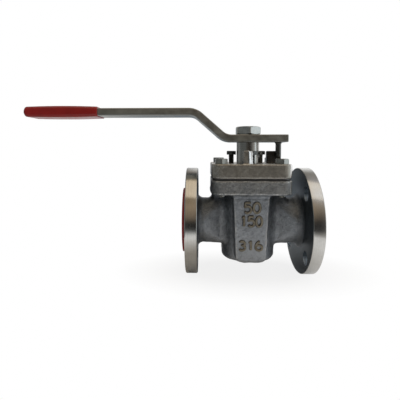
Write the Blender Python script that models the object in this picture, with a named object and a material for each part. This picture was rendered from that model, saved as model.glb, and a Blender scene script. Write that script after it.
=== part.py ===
"""Sleeved quarter-turn plug valve, nominal size 50, with raised-face flanges and a hand lever.

Units are metres. The flow runs along X, the stem stands along +Z, and the origin is the point where
the flow axis and the stem axis cross. The valve is modelled open, with the lever along the pipe.
"""

import math

import bmesh
import bpy
from mathutils import Vector

MM = 0.001
GAP = 0.3 * MM  # clearance between neighbouring pieces
ROUND_STEPS = 48  # facets round a large turned form, a multiple of 4
SMALL_STEPS = 24  # facets round a fastener, a multiple of 6
PLAIN_STEPS = 16  # points round a small rounded rectangle, a multiple of 4
SHARP_ANGLE = math.radians(32)

# End flanges: raised face, four bolts on a circle, straddling the centre lines
FACE_TO_FACE = 178.0 * MM
FLANGE_RADIUS = 75.0 * MM
FLANGE_THICKNESS = 16.0 * MM
FLANGE_CHAMFER = 0.8 * MM
RAISED_FACE_RADIUS = 46.0 * MM
RAISED_FACE_HEIGHT = 1.6 * MM
FLANGE_BOLT_CIRCLE = 60.3 * MM
FLANGE_BOLT_HOLE = 9.5 * MM
BORE_RADIUS = 25.0 * MM

# Necks: round at the flange, a tall rounded rectangle at the barrel
NECK_RADIUS = 32.0 * MM
NECK_FILLET = 8.0 * MM
NECK_HALF_WIDTH = 20.5 * MM
NECK_HALF_HEIGHT = 31.0 * MM
NECK_CORNER = 10.0 * MM
NECK_FLARE = 5.0 * MM
NECK_ROOT = 36.0 * MM

# Barrel round the plug, with a flat panel on its front and its back
BARREL_TOP_RADIUS = 40.0 * MM
BARREL_FOOT_RADIUS = 37.0 * MM
BARREL_FOOT_Z = -51.5 * MM
BARREL_FOOT_ROUND = 5.0 * MM
PANEL_TOP_HALF_WIDTH = 24.5 * MM
PANEL_FOOT_HALF_WIDTH = 20.0 * MM
PANEL_TOP_OFFSET = 44.0 * MM
PANEL_FOOT_OFFSET = 41.5 * MM
PANEL_CORNER = 1.8 * MM
PANEL_FLARE = 6.0 * MM

# Square flange on top of the body, and the cover bolted to it
TOP_FLANGE_HALF_SIDE = 53.0 * MM
TOP_FLANGE_LOW = 41.7 * MM
TOP_FLANGE_HIGH = 60.5 * MM
COVER_HALF_SIDE = 53.0 * MM
COVER_LOW = 63.4 * MM
COVER_HIGH = 82.1 * MM
SQUARE_CORNER = 13.0 * MM
CAST_EDGE = 1.4 * MM

# Tapered seat: sleeve in the body, plug in the sleeve
SEAT_HIGH = 40.0 * MM
SEAT_LOW = -42.0 * MM
PLUG_TOP_RADIUS = 29.5 * MM
PLUG_FOOT_RADIUS = 24.4 * MM
SLEEVE_WALL = 3.0 * MM
SEAT_FLOOR_DEPTH = 2.0 * MM
PLUG_SHOULDER_Z = 50.0 * MM
PLUG_CHAMFER = 2.0 * MM
PORT_HALF_WIDTH = 13.5 * MM
PORT_HALF_HEIGHT = 22.0 * MM
PORT_CORNER = 6.0 * MM
PORT_BLEND_START = 66.0 * MM
PORT_BLEND_END = 33.0 * MM

# Stem, and what packs it
STEM_RADIUS = 16.0 * MM
STEM_SQUARE_HALF = 11.5 * MM
STEM_SQUARE_CORNER = 5.0 * MM
STEM_THREAD_RADIUS = 10.0 * MM
WEDGE_RADIUS = 24.0 * MM
WEDGE_HEIGHT = 7.0 * MM
DIAPHRAGM_HALF_SIDE = 51.5 * MM
DIAPHRAGM_CORNER = 11.5 * MM
SOFT_DIAPHRAGM = 1.2 * MM
METAL_DIAPHRAGM = 0.8 * MM
LIP_WALL = 1.5 * MM
LIP_HEIGHT = 4.0 * MM
COLLAR_BORE = 18.4 * MM
COLLAR_RADIUS = 32.0 * MM
COLLAR_HEIGHT = 8.0 * MM
COVER_POCKET_RADIUS = 33.0 * MM
COVER_POCKET_DEPTH = 9.6 * MM

# Stop lugs cast on the cover: (middle x, middle y, half x, half y); the front one has a toe that the
# pin swings behind
STOP_LUGS = (
    (-8.2 * MM, -44.0 * MM, 3.5 * MM, 8.2 * MM),
    (-5.35 * MM, -50.3 * MM, 5.85 * MM, 2.1 * MM),
    (38.4 * MM, 10.0 * MM, 10.1 * MM, 5.4 * MM),
)
LUG_HIGH = 99.3 * MM
LUG_DRAFT = 0.6 * MM
LUG_ROUND = 1.6 * MM
LUG_CORNER_LOSS = 0.85  # how far the corners sharpen as the top rounds over

# Fasteners: width across flats, head height, shank radius
COVER_BOLT_FLATS = 16.0 * MM
COVER_BOLT_HEAD = 6.8 * MM
COVER_BOLT_RADIUS = 5.0 * MM
COVER_BOLT_OFFSET = 40.0 * MM
COVER_BOLT_END = 38.2 * MM
COVER_BOLT_TURNS = (0.05, 0.03, 0.06, 0.05)
ADJUSTER_FLATS = 13.0 * MM
ADJUSTER_HEAD = 5.5 * MM
ADJUSTER_RADIUS = 4.0 * MM
ADJUSTER_CIRCLE = 25.0 * MM
ADJUSTER_HEAD_LOW = 94.0 * MM
ADJUSTER_BEARINGS = (36.0, 156.0, 276.0)
NUT_FLATS = 33.0 * MM
NUT_HEIGHT = 11.3 * MM
NUT_TURN = math.radians(2)
HEAD_RIM = 0.47  # radius where a head chamfer starts, as a share of the width across flats
NUT_RIM = 0.48
BOLT_TIP = 0.2  # chamfer at a bolt end, as a share of its radius
HEAD_CHAMFER = math.radians(30)
CLEARANCE_HOLE = 0.8 * MM

# Lever: flat bar with two equal bends
LEVER_WIDTH = 35.0 * MM
LEVER_THICKNESS = 10.5 * MM
LEVER_EDGE = 1.0 * MM
LEVER_LOW = 111.7 * MM
LEVER_RISE = 36.9 * MM
LEVER_TAIL = 54.0 * MM
LEVER_LOWER_BEND = -33.3 * MM
LEVER_UPPER_BEND = -75.4 * MM
LEVER_BEND_RADIUS = 14.0 * MM
LEVER_TIP = -313.0 * MM
STOP_PIN_RADIUS = 4.0 * MM
STOP_PIN_OFFSET = 43.4 * MM
STOP_PIN_LOW = 90.6 * MM
WELD_SIZE = 2.6 * MM

# Plastic grip on the hand end
GRIP_LENGTH = 105.0 * MM
GRIP_WALL = 2.4 * MM
GRIP_CROWN = 1.0 * MM
GRIP_CORNER = 4.5 * MM
GRIP_END_WALL = 3.5 * MM
GRIP_LEVELS = (0.03, 0.2, 0.4, 0.6, 0.8)  # shares of the length, from the mouth
GRIP_SINK = 0.25  # share of the crown by which the ends lie below the plain wall
GRIP_TIP_ROUND = 0.75  # rounding of the closed end, as a share of the half height

# Plastic covers pushed into the end bores
CAP_RADIUS = 45.6 * MM
CAP_THICKNESS = 3.0 * MM
CAP_EDGE = 0.8 * MM
CAP_SPIGOT_RADIUS = 24.5 * MM
CAP_SPIGOT_WALL = 2.0 * MM
CAP_SPIGOT_DEPTH = 13.0 * MM


def clear_scene():
    """Removes every object of the scene that the script starts from."""
    for old in list(bpy.data.objects):
        bpy.data.objects.remove(old)


def finish(name, colour, roughness, metallic):
    """A Principled material."""
    material = bpy.data.materials.new(name)
    material.use_nodes = True
    shader = material.node_tree.nodes["Principled BSDF"]
    shader.inputs["Base Color"].default_value = (*colour, 1.0)
    shader.inputs["Roughness"].default_value = roughness
    shader.inputs["Metallic"].default_value = metallic
    return material


def mesh_from(name, form):
    """The form as a mesh with outward faces, smooth except at sharp edges."""
    bmesh.ops.recalc_face_normals(form, faces=form.faces)
    mesh = bpy.data.meshes.new(name)
    form.to_mesh(mesh)
    form.free()
    mesh.shade_smooth()
    mesh.set_sharp_from_angle(angle=SHARP_ANGLE)
    return mesh


def piece(name, form, material, place=(0.0, 0.0, 0.0)):
    """One named piece of the valve, from a form or from a mesh that pieces share."""
    mesh = form if isinstance(form, bpy.types.Mesh) else mesh_from(name, form)
    if not mesh.materials:
        mesh.materials.append(material)
    made = bpy.data.objects.new(name, mesh)
    made.location = place
    bpy.context.collection.objects.link(made)
    return made


def helper(name, form):
    """A hidden solid that is joined to a piece or cut from it."""
    made = bpy.data.objects.new(name, mesh_from(name, form))
    made.hide_render = True
    made.display_type = "WIRE"
    bpy.context.collection.objects.link(made)
    return made


def combine(target, other, operation):
    """Joins another solid to the target, or cuts it away, by an exact Boolean."""
    modifier = target.modifiers.new(other.name, "BOOLEAN")
    modifier.solver = "EXACT"
    modifier.operation = operation
    modifier.object = other


def join(target, *others):
    for other in others:
        combine(target, other, "UNION")


def cut(target, *others):
    for other in others:
        combine(target, other, "DIFFERENCE")


def soften(target, width, segments=2):
    """A Bevel on the sharp edges of a casting."""
    modifier = target.modifiers.new("soften", "BEVEL")
    modifier.width = width
    modifier.segments = segments
    modifier.limit_method = "ANGLE"
    modifier.angle_limit = SHARP_ANGLE


def turned(profile, steps=ROUND_STEPS, ring=False):
    """Spins a profile of (radius, height) points about Z. A ring's profile closes on itself."""
    form = bmesh.new()
    points = [form.verts.new((radius, 0.0, height)) for radius, height in profile]
    ends = points[1:] + points[:1] if ring else points[1:]
    edges = [form.edges.new(pair) for pair in zip(points, ends)]
    bmesh.ops.spin(
        form,
        geom=points + edges,
        axis=(0, 0, 1),
        cent=(0, 0, 0),
        angle=math.tau,
        steps=steps,
        use_merge=True,
    )
    bmesh.ops.remove_doubles(form, verts=form.verts, dist=0.001 * MM)
    return form


def lofted(sections, ring=False):
    """Skins closed sections of equal length; the ends are capped, or joined to each other."""
    form = bmesh.new()
    loops = [[form.verts.new(point) for point in section] for section in sections]
    nexts = loops[1:] + loops[:1] if ring else loops[1:]
    for first, second in zip(loops, nexts):
        for i, point in enumerate(first):
            before = i - 1
            form.faces.new((first[before], point, second[i], second[before]))
    if not ring:
        form.faces.new(loops[0])
        form.faces.new(loops[-1])
    return form


def merged(forms):
    """Several forms that don't touch, as one form for a cutter."""
    whole = bmesh.new()
    for form in forms:
        passing = bpy.data.meshes.new("passing")
        form.to_mesh(passing)
        form.free()
        whole.from_mesh(passing)
        bpy.data.meshes.remove(passing)
    return whole


def moved(form, offset):
    bmesh.ops.translate(form, verts=form.verts, vec=Vector(offset))
    return form


def circle(radius, count=ROUND_STEPS):
    """Points round a circle, a half step off the axes so that each quadrant has its own."""
    angles = [math.tau * (i + 0.5) / count for i in range(count)]
    return [(radius * math.cos(angle), radius * math.sin(angle)) for angle in angles]


def rounded_box(half_a, half_b, corner, count=ROUND_STEPS):
    """Points round a rectangle whose corners are quarter circles, an equal share for each corner."""
    share = count // 4
    points = []
    for quarter in range(4):
        for i in range(share):
            angle = math.pi / 2 * (quarter + i / (share - 1))
            side_a = 1 if quarter in (0, 3) else -1
            side_b = 1 if quarter in (0, 1) else -1
            a = side_a * (half_a - corner) + corner * math.cos(angle)
            b = side_b * (half_b - corner) + corner * math.sin(angle)
            points.append((a, b))
    return points


def across_x(section, x):
    """A flat section placed square to the flow."""
    return [(x, a, b) for a, b in section]


def across_z(section, z, middle=(0.0, 0.0)):
    """A flat section placed square to the stem."""
    return [(middle[0] + a, middle[1] + b, z) for a, b in section]


def arc(middle, radius, start, end, steps):
    """Points along an arc in a plane, with angles in degrees."""
    angles = [math.radians(start + (end - start) * i / steps) for i in range(steps + 1)]
    return [(middle[0] + radius * math.cos(t), middle[1] + radius * math.sin(t)) for t in angles]


def prism(half_a, half_b, corner, low, high, count=ROUND_STEPS):
    section = rounded_box(half_a, half_b, corner, count)
    return lofted([across_z(section, low), across_z(section, high)])


def rod(radius, low, high, steps=SMALL_STEPS):
    return turned([(0, low), (radius, low), (radius, high), (0, high)], steps)


def square_places(offset):
    return [(x, y) for y in (-offset, offset) for x in (-offset, offset)]


def plug_radius(z):
    """Radius of the tapered plug at a height, which grows at a constant rate from foot to top."""
    share = (z - SEAT_LOW) / (SEAT_HIGH - SEAT_LOW)
    return PLUG_FOOT_RADIUS + share * (PLUG_TOP_RADIUS - PLUG_FOOT_RADIUS)


def end_flange(side):
    """One end flange, as round sections along the flow from the raised face to its hub."""
    face = FACE_TO_FACE / 2
    front = face - RAISED_FACE_HEIGHT
    back = front - FLANGE_THICKNESS
    edge = FLANGE_RADIUS - FLANGE_CHAMFER
    outline = [
        (face, RAISED_FACE_RADIUS),
        (front, RAISED_FACE_RADIUS),
        (front, edge),
        (front - FLANGE_CHAMFER, FLANGE_RADIUS),
        (back + FLANGE_CHAMFER, FLANGE_RADIUS),
        (back, edge),
    ]
    outline += arc((back - NECK_FILLET, NECK_RADIUS + NECK_FILLET), NECK_FILLET, 0, -90, 4)
    return lofted([across_x(circle(radius), side * x) for x, radius in outline])


def neck(side):
    """The passage wall between hub and barrel: round at the hub, flat sided at the barrel."""
    hub = FACE_TO_FACE / 2 - RAISED_FACE_HEIGHT - FLANGE_THICKNESS - NECK_FILLET
    sections = [across_x(circle(NECK_RADIUS), side * (hub - GAP))]
    flare = arc((NECK_ROOT + NECK_FLARE, NECK_HALF_HEIGHT + NECK_FLARE), NECK_FLARE, -90, -180, 3)
    for x, half_height in flare + [(NECK_ROOT / 2, NECK_HALF_HEIGHT + NECK_FLARE)]:
        section = rounded_box(NECK_HALF_WIDTH, half_height, NECK_CORNER)
        sections.append(across_x(section, side * x))
    return lofted(sections)


def barrel():
    """The tapered vessel round the plug, closed at the foot by a shallow dome."""
    knee = BARREL_FOOT_ROUND
    middle = (BARREL_FOOT_RADIUS - knee, BARREL_FOOT_Z + knee)
    dome = [(0, BARREL_FOOT_Z - knee / 2), (BARREL_FOOT_RADIUS / 2, BARREL_FOOT_Z - knee / 4)]
    side = arc(middle, knee, -90, 0, 4) + [(BARREL_TOP_RADIUS, TOP_FLANGE_LOW)]
    top = TOP_FLANGE_LOW + BARREL_FOOT_ROUND
    return turned(dome + side + [(BARREL_TOP_RADIUS, top), (0, top)])


def panel(facing):
    """The flat panel cast on the barrel: it leans in towards the foot and flares into the flange."""
    inside = TOP_FLANGE_LOW + PANEL_FLARE
    flare_end = TOP_FLANGE_LOW - PANEL_FLARE
    foot = BARREL_FOOT_Z + BARREL_FOOT_ROUND
    levels = [(PANEL_TOP_OFFSET + PANEL_FLARE, inside)]
    levels += arc((PANEL_TOP_OFFSET + PANEL_FLARE, flare_end), PANEL_FLARE, 90, 180, 4)
    levels += arc((PANEL_FOOT_OFFSET - BARREL_FOOT_ROUND, foot), BARREL_FOOT_ROUND, 0, -80, 4)
    sections = []
    for offset, z in levels:
        share = (z - BARREL_FOOT_Z) / (TOP_FLANGE_LOW - BARREL_FOOT_Z)
        half_width = PANEL_FOOT_HALF_WIDTH + share * (PANEL_TOP_HALF_WIDTH - PANEL_FOOT_HALF_WIDTH)
        section = rounded_box(half_width, offset / 2, PANEL_CORNER, PLAIN_STEPS)
        sections.append(across_z(section, z, (0.0, facing * offset / 2)))
    return lofted(sections)


def seat_bore():
    """The tapered seat with its wider throat at the top."""
    floor = SEAT_LOW - SEAT_FLOOR_DEPTH
    wall = SLEEVE_WALL + 2 * GAP
    throat = PLUG_TOP_RADIUS + wall + GAP
    profile = [
        (0, floor),
        (plug_radius(floor) + wall, floor),
        (PLUG_TOP_RADIUS + wall, SEAT_HIGH),
        (throat, SEAT_HIGH + GAP),
        (throat, TOP_FLANGE_HIGH + GAP * 4),
        (0, TOP_FLANGE_HIGH + GAP * 4),
    ]
    return turned(profile)


def flow_way():
    """The passage: round at both ends, blending to the tall port of the plug in the middle."""
    end = FACE_TO_FACE / 2 + CAP_THICKNESS
    port = rounded_box(PORT_HALF_WIDTH, PORT_HALF_HEIGHT, PORT_CORNER)
    bore = circle(BORE_RADIUS)
    half = [(bore, end), (bore, PORT_BLEND_START), (port, PORT_BLEND_END)]
    sections = [across_x(section, -x) for section, x in half]
    sections += [across_x(section, x) for section, x in reversed(half)]
    return lofted(sections)


def flange_bolt_holes(side):
    """Four holes in an end flange, at 45 degrees to the stem."""
    front = FACE_TO_FACE / 2
    back = front - RAISED_FACE_HEIGHT - FLANGE_THICKNESS - FLANGE_CHAMFER * 2
    reach = FLANGE_BOLT_CIRCLE * math.sqrt(0.5)
    holes = []
    for y, z in square_places(reach):
        section = [(y + a, z + b) for a, b in circle(FLANGE_BOLT_HOLE, SMALL_STEPS)]
        holes.append(lofted([across_x(section, side * back), across_x(section, side * front)]))
    return merged(holes)


def upright_holes(radius, places, low, high):
    """Round holes along the stem's direction, as one cutter."""
    return merged(moved(rod(radius, low, high), (x, y, 0)) for x, y in places)


def make_body(cast_steel, passage):
    """The cast body with its necks, passage, seat and tapped holes."""
    body = piece("valve_body", barrel(), cast_steel)
    top_flange = helper(
        "top_flange",
        prism(TOP_FLANGE_HALF_SIDE, TOP_FLANGE_HALF_SIDE, SQUARE_CORNER, TOP_FLANGE_LOW, TOP_FLANGE_HIGH),
    )
    soften(top_flange, CAST_EDGE)
    join(body, top_flange)
    join(body, helper("front_panel", panel(-1)), helper("back_panel", panel(1)))
    join(body, helper("inlet_neck", neck(-1)), helper("outlet_neck", neck(1)))
    tapped = upright_holes(
        COVER_BOLT_RADIUS + GAP,
        square_places(COVER_BOLT_OFFSET),
        TOP_FLANGE_LOW - CAST_EDGE,
        TOP_FLANGE_HIGH + CAST_EDGE,
    )
    cut(body, helper("seat_bore", seat_bore()), passage, helper("tapped_holes", tapped))


def make_flange(name, side, turned_steel, passage):
    """An end flange with its bore and bolt holes; it is cast in one with the neck."""
    flange = piece(name, end_flange(side), turned_steel)
    cut(flange, passage, helper(f"{name}_bolt_holes", flange_bolt_holes(side)))


def make_sleeve(soft_white, passage):
    """The soft sleeve that the plug turns in, with a window on each side."""
    high = SEAT_HIGH - GAP
    low = SEAT_LOW
    profile = [
        (plug_radius(low) + GAP, low),
        (plug_radius(low) + GAP + SLEEVE_WALL, low),
        (plug_radius(high) + GAP + SLEEVE_WALL, high),
        (plug_radius(high) + GAP, high),
    ]
    cut(piece("port_sleeve", turned(profile, ring=True), soft_white), passage)


def make_plug(turned_steel, passage):
    """The tapered plug with its through port, stem, drive square and threaded end."""
    square_high = LEVER_LOW + LEVER_THICKNESS - GAP
    thread_high = LEVER_LOW + LEVER_THICKNESS + NUT_HEIGHT
    profile = [
        (0, SEAT_LOW),
        (PLUG_FOOT_RADIUS - PLUG_CHAMFER, SEAT_LOW),
        (plug_radius(SEAT_LOW + PLUG_CHAMFER), SEAT_LOW + PLUG_CHAMFER),
        (PLUG_TOP_RADIUS, SEAT_HIGH),
        (PLUG_TOP_RADIUS, PLUG_SHOULDER_Z - PLUG_CHAMFER),
        (PLUG_TOP_RADIUS - PLUG_CHAMFER, PLUG_SHOULDER_Z),
        (STEM_RADIUS, PLUG_SHOULDER_Z),
        (STEM_RADIUS, LEVER_LOW - GAP),
        (STEM_THREAD_RADIUS, LEVER_LOW - GAP),
        (STEM_THREAD_RADIUS, thread_high - PLUG_CHAMFER / 2),
        (STEM_THREAD_RADIUS - PLUG_CHAMFER / 2, thread_high),
        (0, thread_high),
    ]
    plug = piece("plug", turned(profile), turned_steel)
    square = prism(
        STEM_SQUARE_HALF,
        STEM_SQUARE_HALF,
        STEM_SQUARE_CORNER,
        LEVER_LOW - STEM_SQUARE_HALF,
        square_high,
        PLAIN_STEPS,
    )
    join(plug, helper("drive_square", square))
    cut(plug, passage)
    return plug


def diaphragm(name, low, high, hole, material):
    """A thin square sheet with a hole for the stem and one for each cover bolt."""
    sheet = piece(
        name, prism(DIAPHRAGM_HALF_SIDE, DIAPHRAGM_HALF_SIDE, DIAPHRAGM_CORNER, low, high), material
    )
    bolt_holes = upright_holes(
        COVER_BOLT_RADIUS + CLEARANCE_HOLE, square_places(COVER_BOLT_OFFSET), low - GAP, high + GAP
    )
    bore = rod(hole, low - GAP, high + GAP, ROUND_STEPS)
    cut(sheet, helper(f"{name}_bolt_holes", bolt_holes), helper(f"{name}_bore", bore))
    return sheet


def make_packing(soft_white, soft_dark, thin_steel, turned_steel):
    """The ring, discs and collar that seal the stem between the plug's shoulder and the cover."""
    bore = STEM_RADIUS + GAP
    low = PLUG_SHOULDER_Z + GAP
    wedge = [
        (bore, low),
        (WEDGE_RADIUS, low),
        (WEDGE_RADIUS, low + WEDGE_HEIGHT / 4),
        (bore + LIP_WALL, low + WEDGE_HEIGHT),
        (bore, low + WEDGE_HEIGHT),
    ]
    piece("stem_wedge_ring", turned(wedge, ring=True), soft_white)
    soft_low = TOP_FLANGE_HIGH + GAP
    soft_high = soft_low + SOFT_DIAPHRAGM
    lip = bore + LIP_WALL
    collar_of_lip = [
        (bore, soft_low + GAP),
        (lip, soft_low + GAP),
        (lip, soft_high + LIP_HEIGHT),
        (bore, soft_high + LIP_HEIGHT),
    ]
    soft = diaphragm("soft_diaphragm", soft_low, soft_high, bore + GAP, soft_dark)
    join(soft, helper("soft_lip", turned(collar_of_lip, ring=True)))
    metal_low = soft_high + GAP
    metal_high = metal_low + METAL_DIAPHRAGM
    diaphragm("metal_diaphragm", metal_low, metal_high, lip + GAP, thin_steel)
    collar_low = metal_high + GAP
    collar_high = collar_low + COLLAR_HEIGHT
    collar = [
        (COLLAR_BORE, collar_low),
        (COLLAR_RADIUS, collar_low),
        (COLLAR_RADIUS, collar_high - CAST_EDGE),
        (COLLAR_RADIUS - CAST_EDGE, collar_high),
        (COLLAR_BORE, collar_high),
    ]
    piece("thrust_collar", turned(collar, ring=True), turned_steel)
    return collar_high


def stop_lug(middle_x, middle_y, half_x, half_y):
    """A cast lug with drafted sides and a rounded top."""
    shoulder = LUG_HIGH - LUG_ROUND
    levels = [(COVER_HIGH - LUG_ROUND, -LUG_DRAFT), (shoulder, 0.0)]
    for inset, z in arc((LUG_ROUND, shoulder), LUG_ROUND, 180, 90, 3)[1:]:
        levels.append((z, inset))
    sections = []
    for z, inset in levels:
        corner = LUG_ROUND - max(inset, 0.0) * LUG_CORNER_LOSS
        section = rounded_box(half_x - inset, half_y - inset, corner, PLAIN_STEPS)
        sections.append(across_z(section, z, (middle_x, middle_y)))
    return lofted(sections)


def adjuster_places():
    bearings = [math.radians(bearing) for bearing in ADJUSTER_BEARINGS]
    return [(ADJUSTER_CIRCLE * math.cos(t), ADJUSTER_CIRCLE * math.sin(t)) for t in bearings]


def make_cover(cast_steel):
    """The square cover with its stop lugs, collar pocket and holes."""
    cover = piece(
        "top_cover",
        prism(COVER_HALF_SIDE, COVER_HALF_SIDE, SQUARE_CORNER, COVER_LOW, COVER_HIGH),
        cast_steel,
    )
    soften(cover, CAST_EDGE)
    for number, lug in enumerate(STOP_LUGS, 1):
        join(cover, helper(f"stop_lug_{number}", stop_lug(*lug)))
    below = COVER_LOW - CAST_EDGE
    above = COVER_HIGH + CAST_EDGE
    pocket = turned(
        [
            (0, below),
            (COVER_POCKET_RADIUS, below),
            (COVER_POCKET_RADIUS, COVER_LOW + COVER_POCKET_DEPTH),
            (STEM_RADIUS + GAP * 2, COVER_LOW + COVER_POCKET_DEPTH),
            (STEM_RADIUS + GAP * 2, above),
            (0, above),
        ]
    )
    bolt_holes = upright_holes(
        COVER_BOLT_RADIUS + CLEARANCE_HOLE, square_places(COVER_BOLT_OFFSET), below, above
    )
    screw_holes = upright_holes(ADJUSTER_RADIUS + GAP, adjuster_places(), COVER_LOW, above)
    cut(cover, helper("collar_pocket", pocket), helper("cover_bolt_holes", bolt_holes))
    cut(cover, helper("adjuster_holes", screw_holes))


def hexagon(flats, turn=0.0):
    """Points round a hexagon, several to each side."""
    points = []
    for i in range(SMALL_STEPS):
        angle = math.tau * i / SMALL_STEPS
        from_flat = (angle + math.pi / 6) % (math.pi / 3) - math.pi / 6
        radius = flats / 2 / math.cos(from_flat)
        points.append((radius * math.cos(angle + turn), radius * math.sin(angle + turn)))
    return points


def on_circle(points, radius):
    """The points pulled in or out to a radius, on their own bearings."""
    return [(radius * a / math.hypot(a, b), radius * b / math.hypot(a, b)) for a, b in points]


def chamfered(points, rim, z, away):
    """A hexagon's outline on a shallow cone, which starts at a rim circle and falls away outside it."""
    slope = math.tan(HEAD_CHAMFER) * away
    return [(a, b, z + slope * max(math.hypot(a, b) - rim, 0.0)) for a, b in points]


def hex_bolt(flats, head_low, head_height, radius, end, turn=0.0):
    """A hex bolt along Z: chamfered end, plain shank and a head chamfered on top."""
    outline = hexagon(flats, turn)
    shank = on_circle(outline, radius)
    rim = flats * HEAD_RIM
    top = head_low + head_height
    tip = radius * BOLT_TIP
    sections = [
        across_z(on_circle(outline, radius - tip), end),
        across_z(shank, end + tip),
        across_z(shank, head_low),
        across_z(outline, head_low),
        chamfered(outline, rim, top, -1),
        across_z(on_circle(outline, rim), top),
    ]
    return lofted(sections)


def make_fasteners(bright_steel, collar_high):
    """Four cover bolts and three adjuster screws."""
    head_low = COVER_HIGH + GAP
    for number, place in enumerate(square_places(COVER_BOLT_OFFSET), 1):
        form = hex_bolt(
            COVER_BOLT_FLATS,
            head_low,
            COVER_BOLT_HEAD,
            COVER_BOLT_RADIUS,
            COVER_BOLT_END,
            COVER_BOLT_TURNS[number - 1],
        )
        piece(f"cover_bolt_{number}", form, bright_steel, (*place, 0.0))
    form = hex_bolt(
        ADJUSTER_FLATS, ADJUSTER_HEAD_LOW, ADJUSTER_HEAD, ADJUSTER_RADIUS, collar_high + GAP
    )
    screw = mesh_from("adjuster_screw", form)
    for number, place in enumerate(adjuster_places(), 1):
        piece(f"adjuster_screw_{number}", screw, bright_steel, (*place, 0.0))


def make_nut(bright_steel):
    """The lever nut, chamfered on both faces."""
    outline = hexagon(NUT_FLATS, NUT_TURN)
    rim = NUT_FLATS * NUT_RIM
    low = LEVER_LOW + LEVER_THICKNESS + GAP
    high = low + NUT_HEIGHT
    hole = on_circle(outline, STEM_THREAD_RADIUS + GAP)
    sections = [
        across_z(hole, low),
        across_z(on_circle(outline, rim), low),
        chamfered(outline, rim, low, 1),
        chamfered(outline, rim, high, -1),
        across_z(on_circle(outline, rim), high),
        across_z(hole, high),
    ]
    return piece("lever_nut", lofted(sections, ring=True), bright_steel)


def lever_line():
    """The middle line of the bar in the XZ plane, with an arc at each bend."""
    low = LEVER_LOW + LEVER_THICKNESS / 2
    high = low + LEVER_RISE
    run = LEVER_LOWER_BEND - LEVER_UPPER_BEND
    tilt = math.atan2(LEVER_RISE, run)
    set_back = LEVER_BEND_RADIUS * math.tan(tilt / 2)
    degrees = math.degrees(tilt)
    lower = (LEVER_LOWER_BEND + set_back, low + LEVER_BEND_RADIUS)
    upper = (LEVER_UPPER_BEND - set_back, high - LEVER_BEND_RADIUS)
    line = [(LEVER_TAIL, low)]
    line += arc(lower, LEVER_BEND_RADIUS, -90, -90 - degrees, 6)
    line += arc(upper, LEVER_BEND_RADIUS, 90 - degrees, 90, 6)
    return line + [(LEVER_TIP, high)]


def bar_section(point, ahead, inset):
    """The bar's outline square to its line: a rectangle with its four edges cut off."""
    along = Vector((ahead[0], 0.0, ahead[1])).normalized()
    up = Vector((-along.z, 0.0, along.x)) * -1
    middle = Vector((point[0], 0.0, point[1]))
    half_width = LEVER_WIDTH / 2 - inset
    half_height = LEVER_THICKNESS / 2 - inset
    corner = LEVER_EDGE
    outline = [
        (half_width, half_height - corner),
        (half_width - corner, half_height),
        (corner - half_width, half_height),
        (-half_width, half_height - corner),
        (-half_width, corner - half_height),
        (corner - half_width, -half_height),
        (half_width - corner, -half_height),
        (half_width, corner - half_height),
    ]
    return [middle + Vector((0, a, 0)) + up * b for a, b in outline]


def make_lever(dull_steel):
    """The bent bar with the hole for the stem's drive square."""
    line = lever_line()
    sections = []
    for i, point in enumerate(line):
        before = line[max(i - 1, 0)]
        after = line[min(i + 1, len(line) - 1)]
        inset = LEVER_EDGE if i in (0, len(line) - 1) else 0.0
        ahead = (after[0] - before[0], after[1] - before[1])
        sections.append(bar_section(point, ahead, inset))
        if i == 0:
            sections.append(bar_section((point[0] - LEVER_EDGE, point[1]), ahead, 0.0))
        if i == len(line) - 2:
            sections.append(bar_section((LEVER_TIP + LEVER_EDGE, line[-1][1]), (-1.0, 0.0), 0.0))
    lever = piece("lever", lofted(sections), dull_steel)
    hole = prism(
        STEM_SQUARE_HALF + GAP,
        STEM_SQUARE_HALF + GAP,
        STEM_SQUARE_CORNER,
        LEVER_LOW - LEVER_EDGE,
        LEVER_LOW + LEVER_THICKNESS + LEVER_EDGE,
        PLAIN_STEPS,
    )
    cut(lever, helper("square_hole", hole))
    return lever


def make_stop_pin(dull_steel):
    """The round pin under the lever's tail, with a weld bead at its root."""
    high = LEVER_LOW - GAP
    chamfer = STOP_PIN_RADIUS / 4
    profile = [
        (0, STOP_PIN_LOW),
        (STOP_PIN_RADIUS - chamfer, STOP_PIN_LOW),
        (STOP_PIN_RADIUS, STOP_PIN_LOW + chamfer),
    ]
    profile += arc((STOP_PIN_RADIUS + WELD_SIZE, high - WELD_SIZE), WELD_SIZE, 180, 90, 3)
    form = turned(profile + [(0, high)], SMALL_STEPS)
    return piece("stop_pin", moved(form, (STOP_PIN_OFFSET, 0, 0)), dull_steel)


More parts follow.
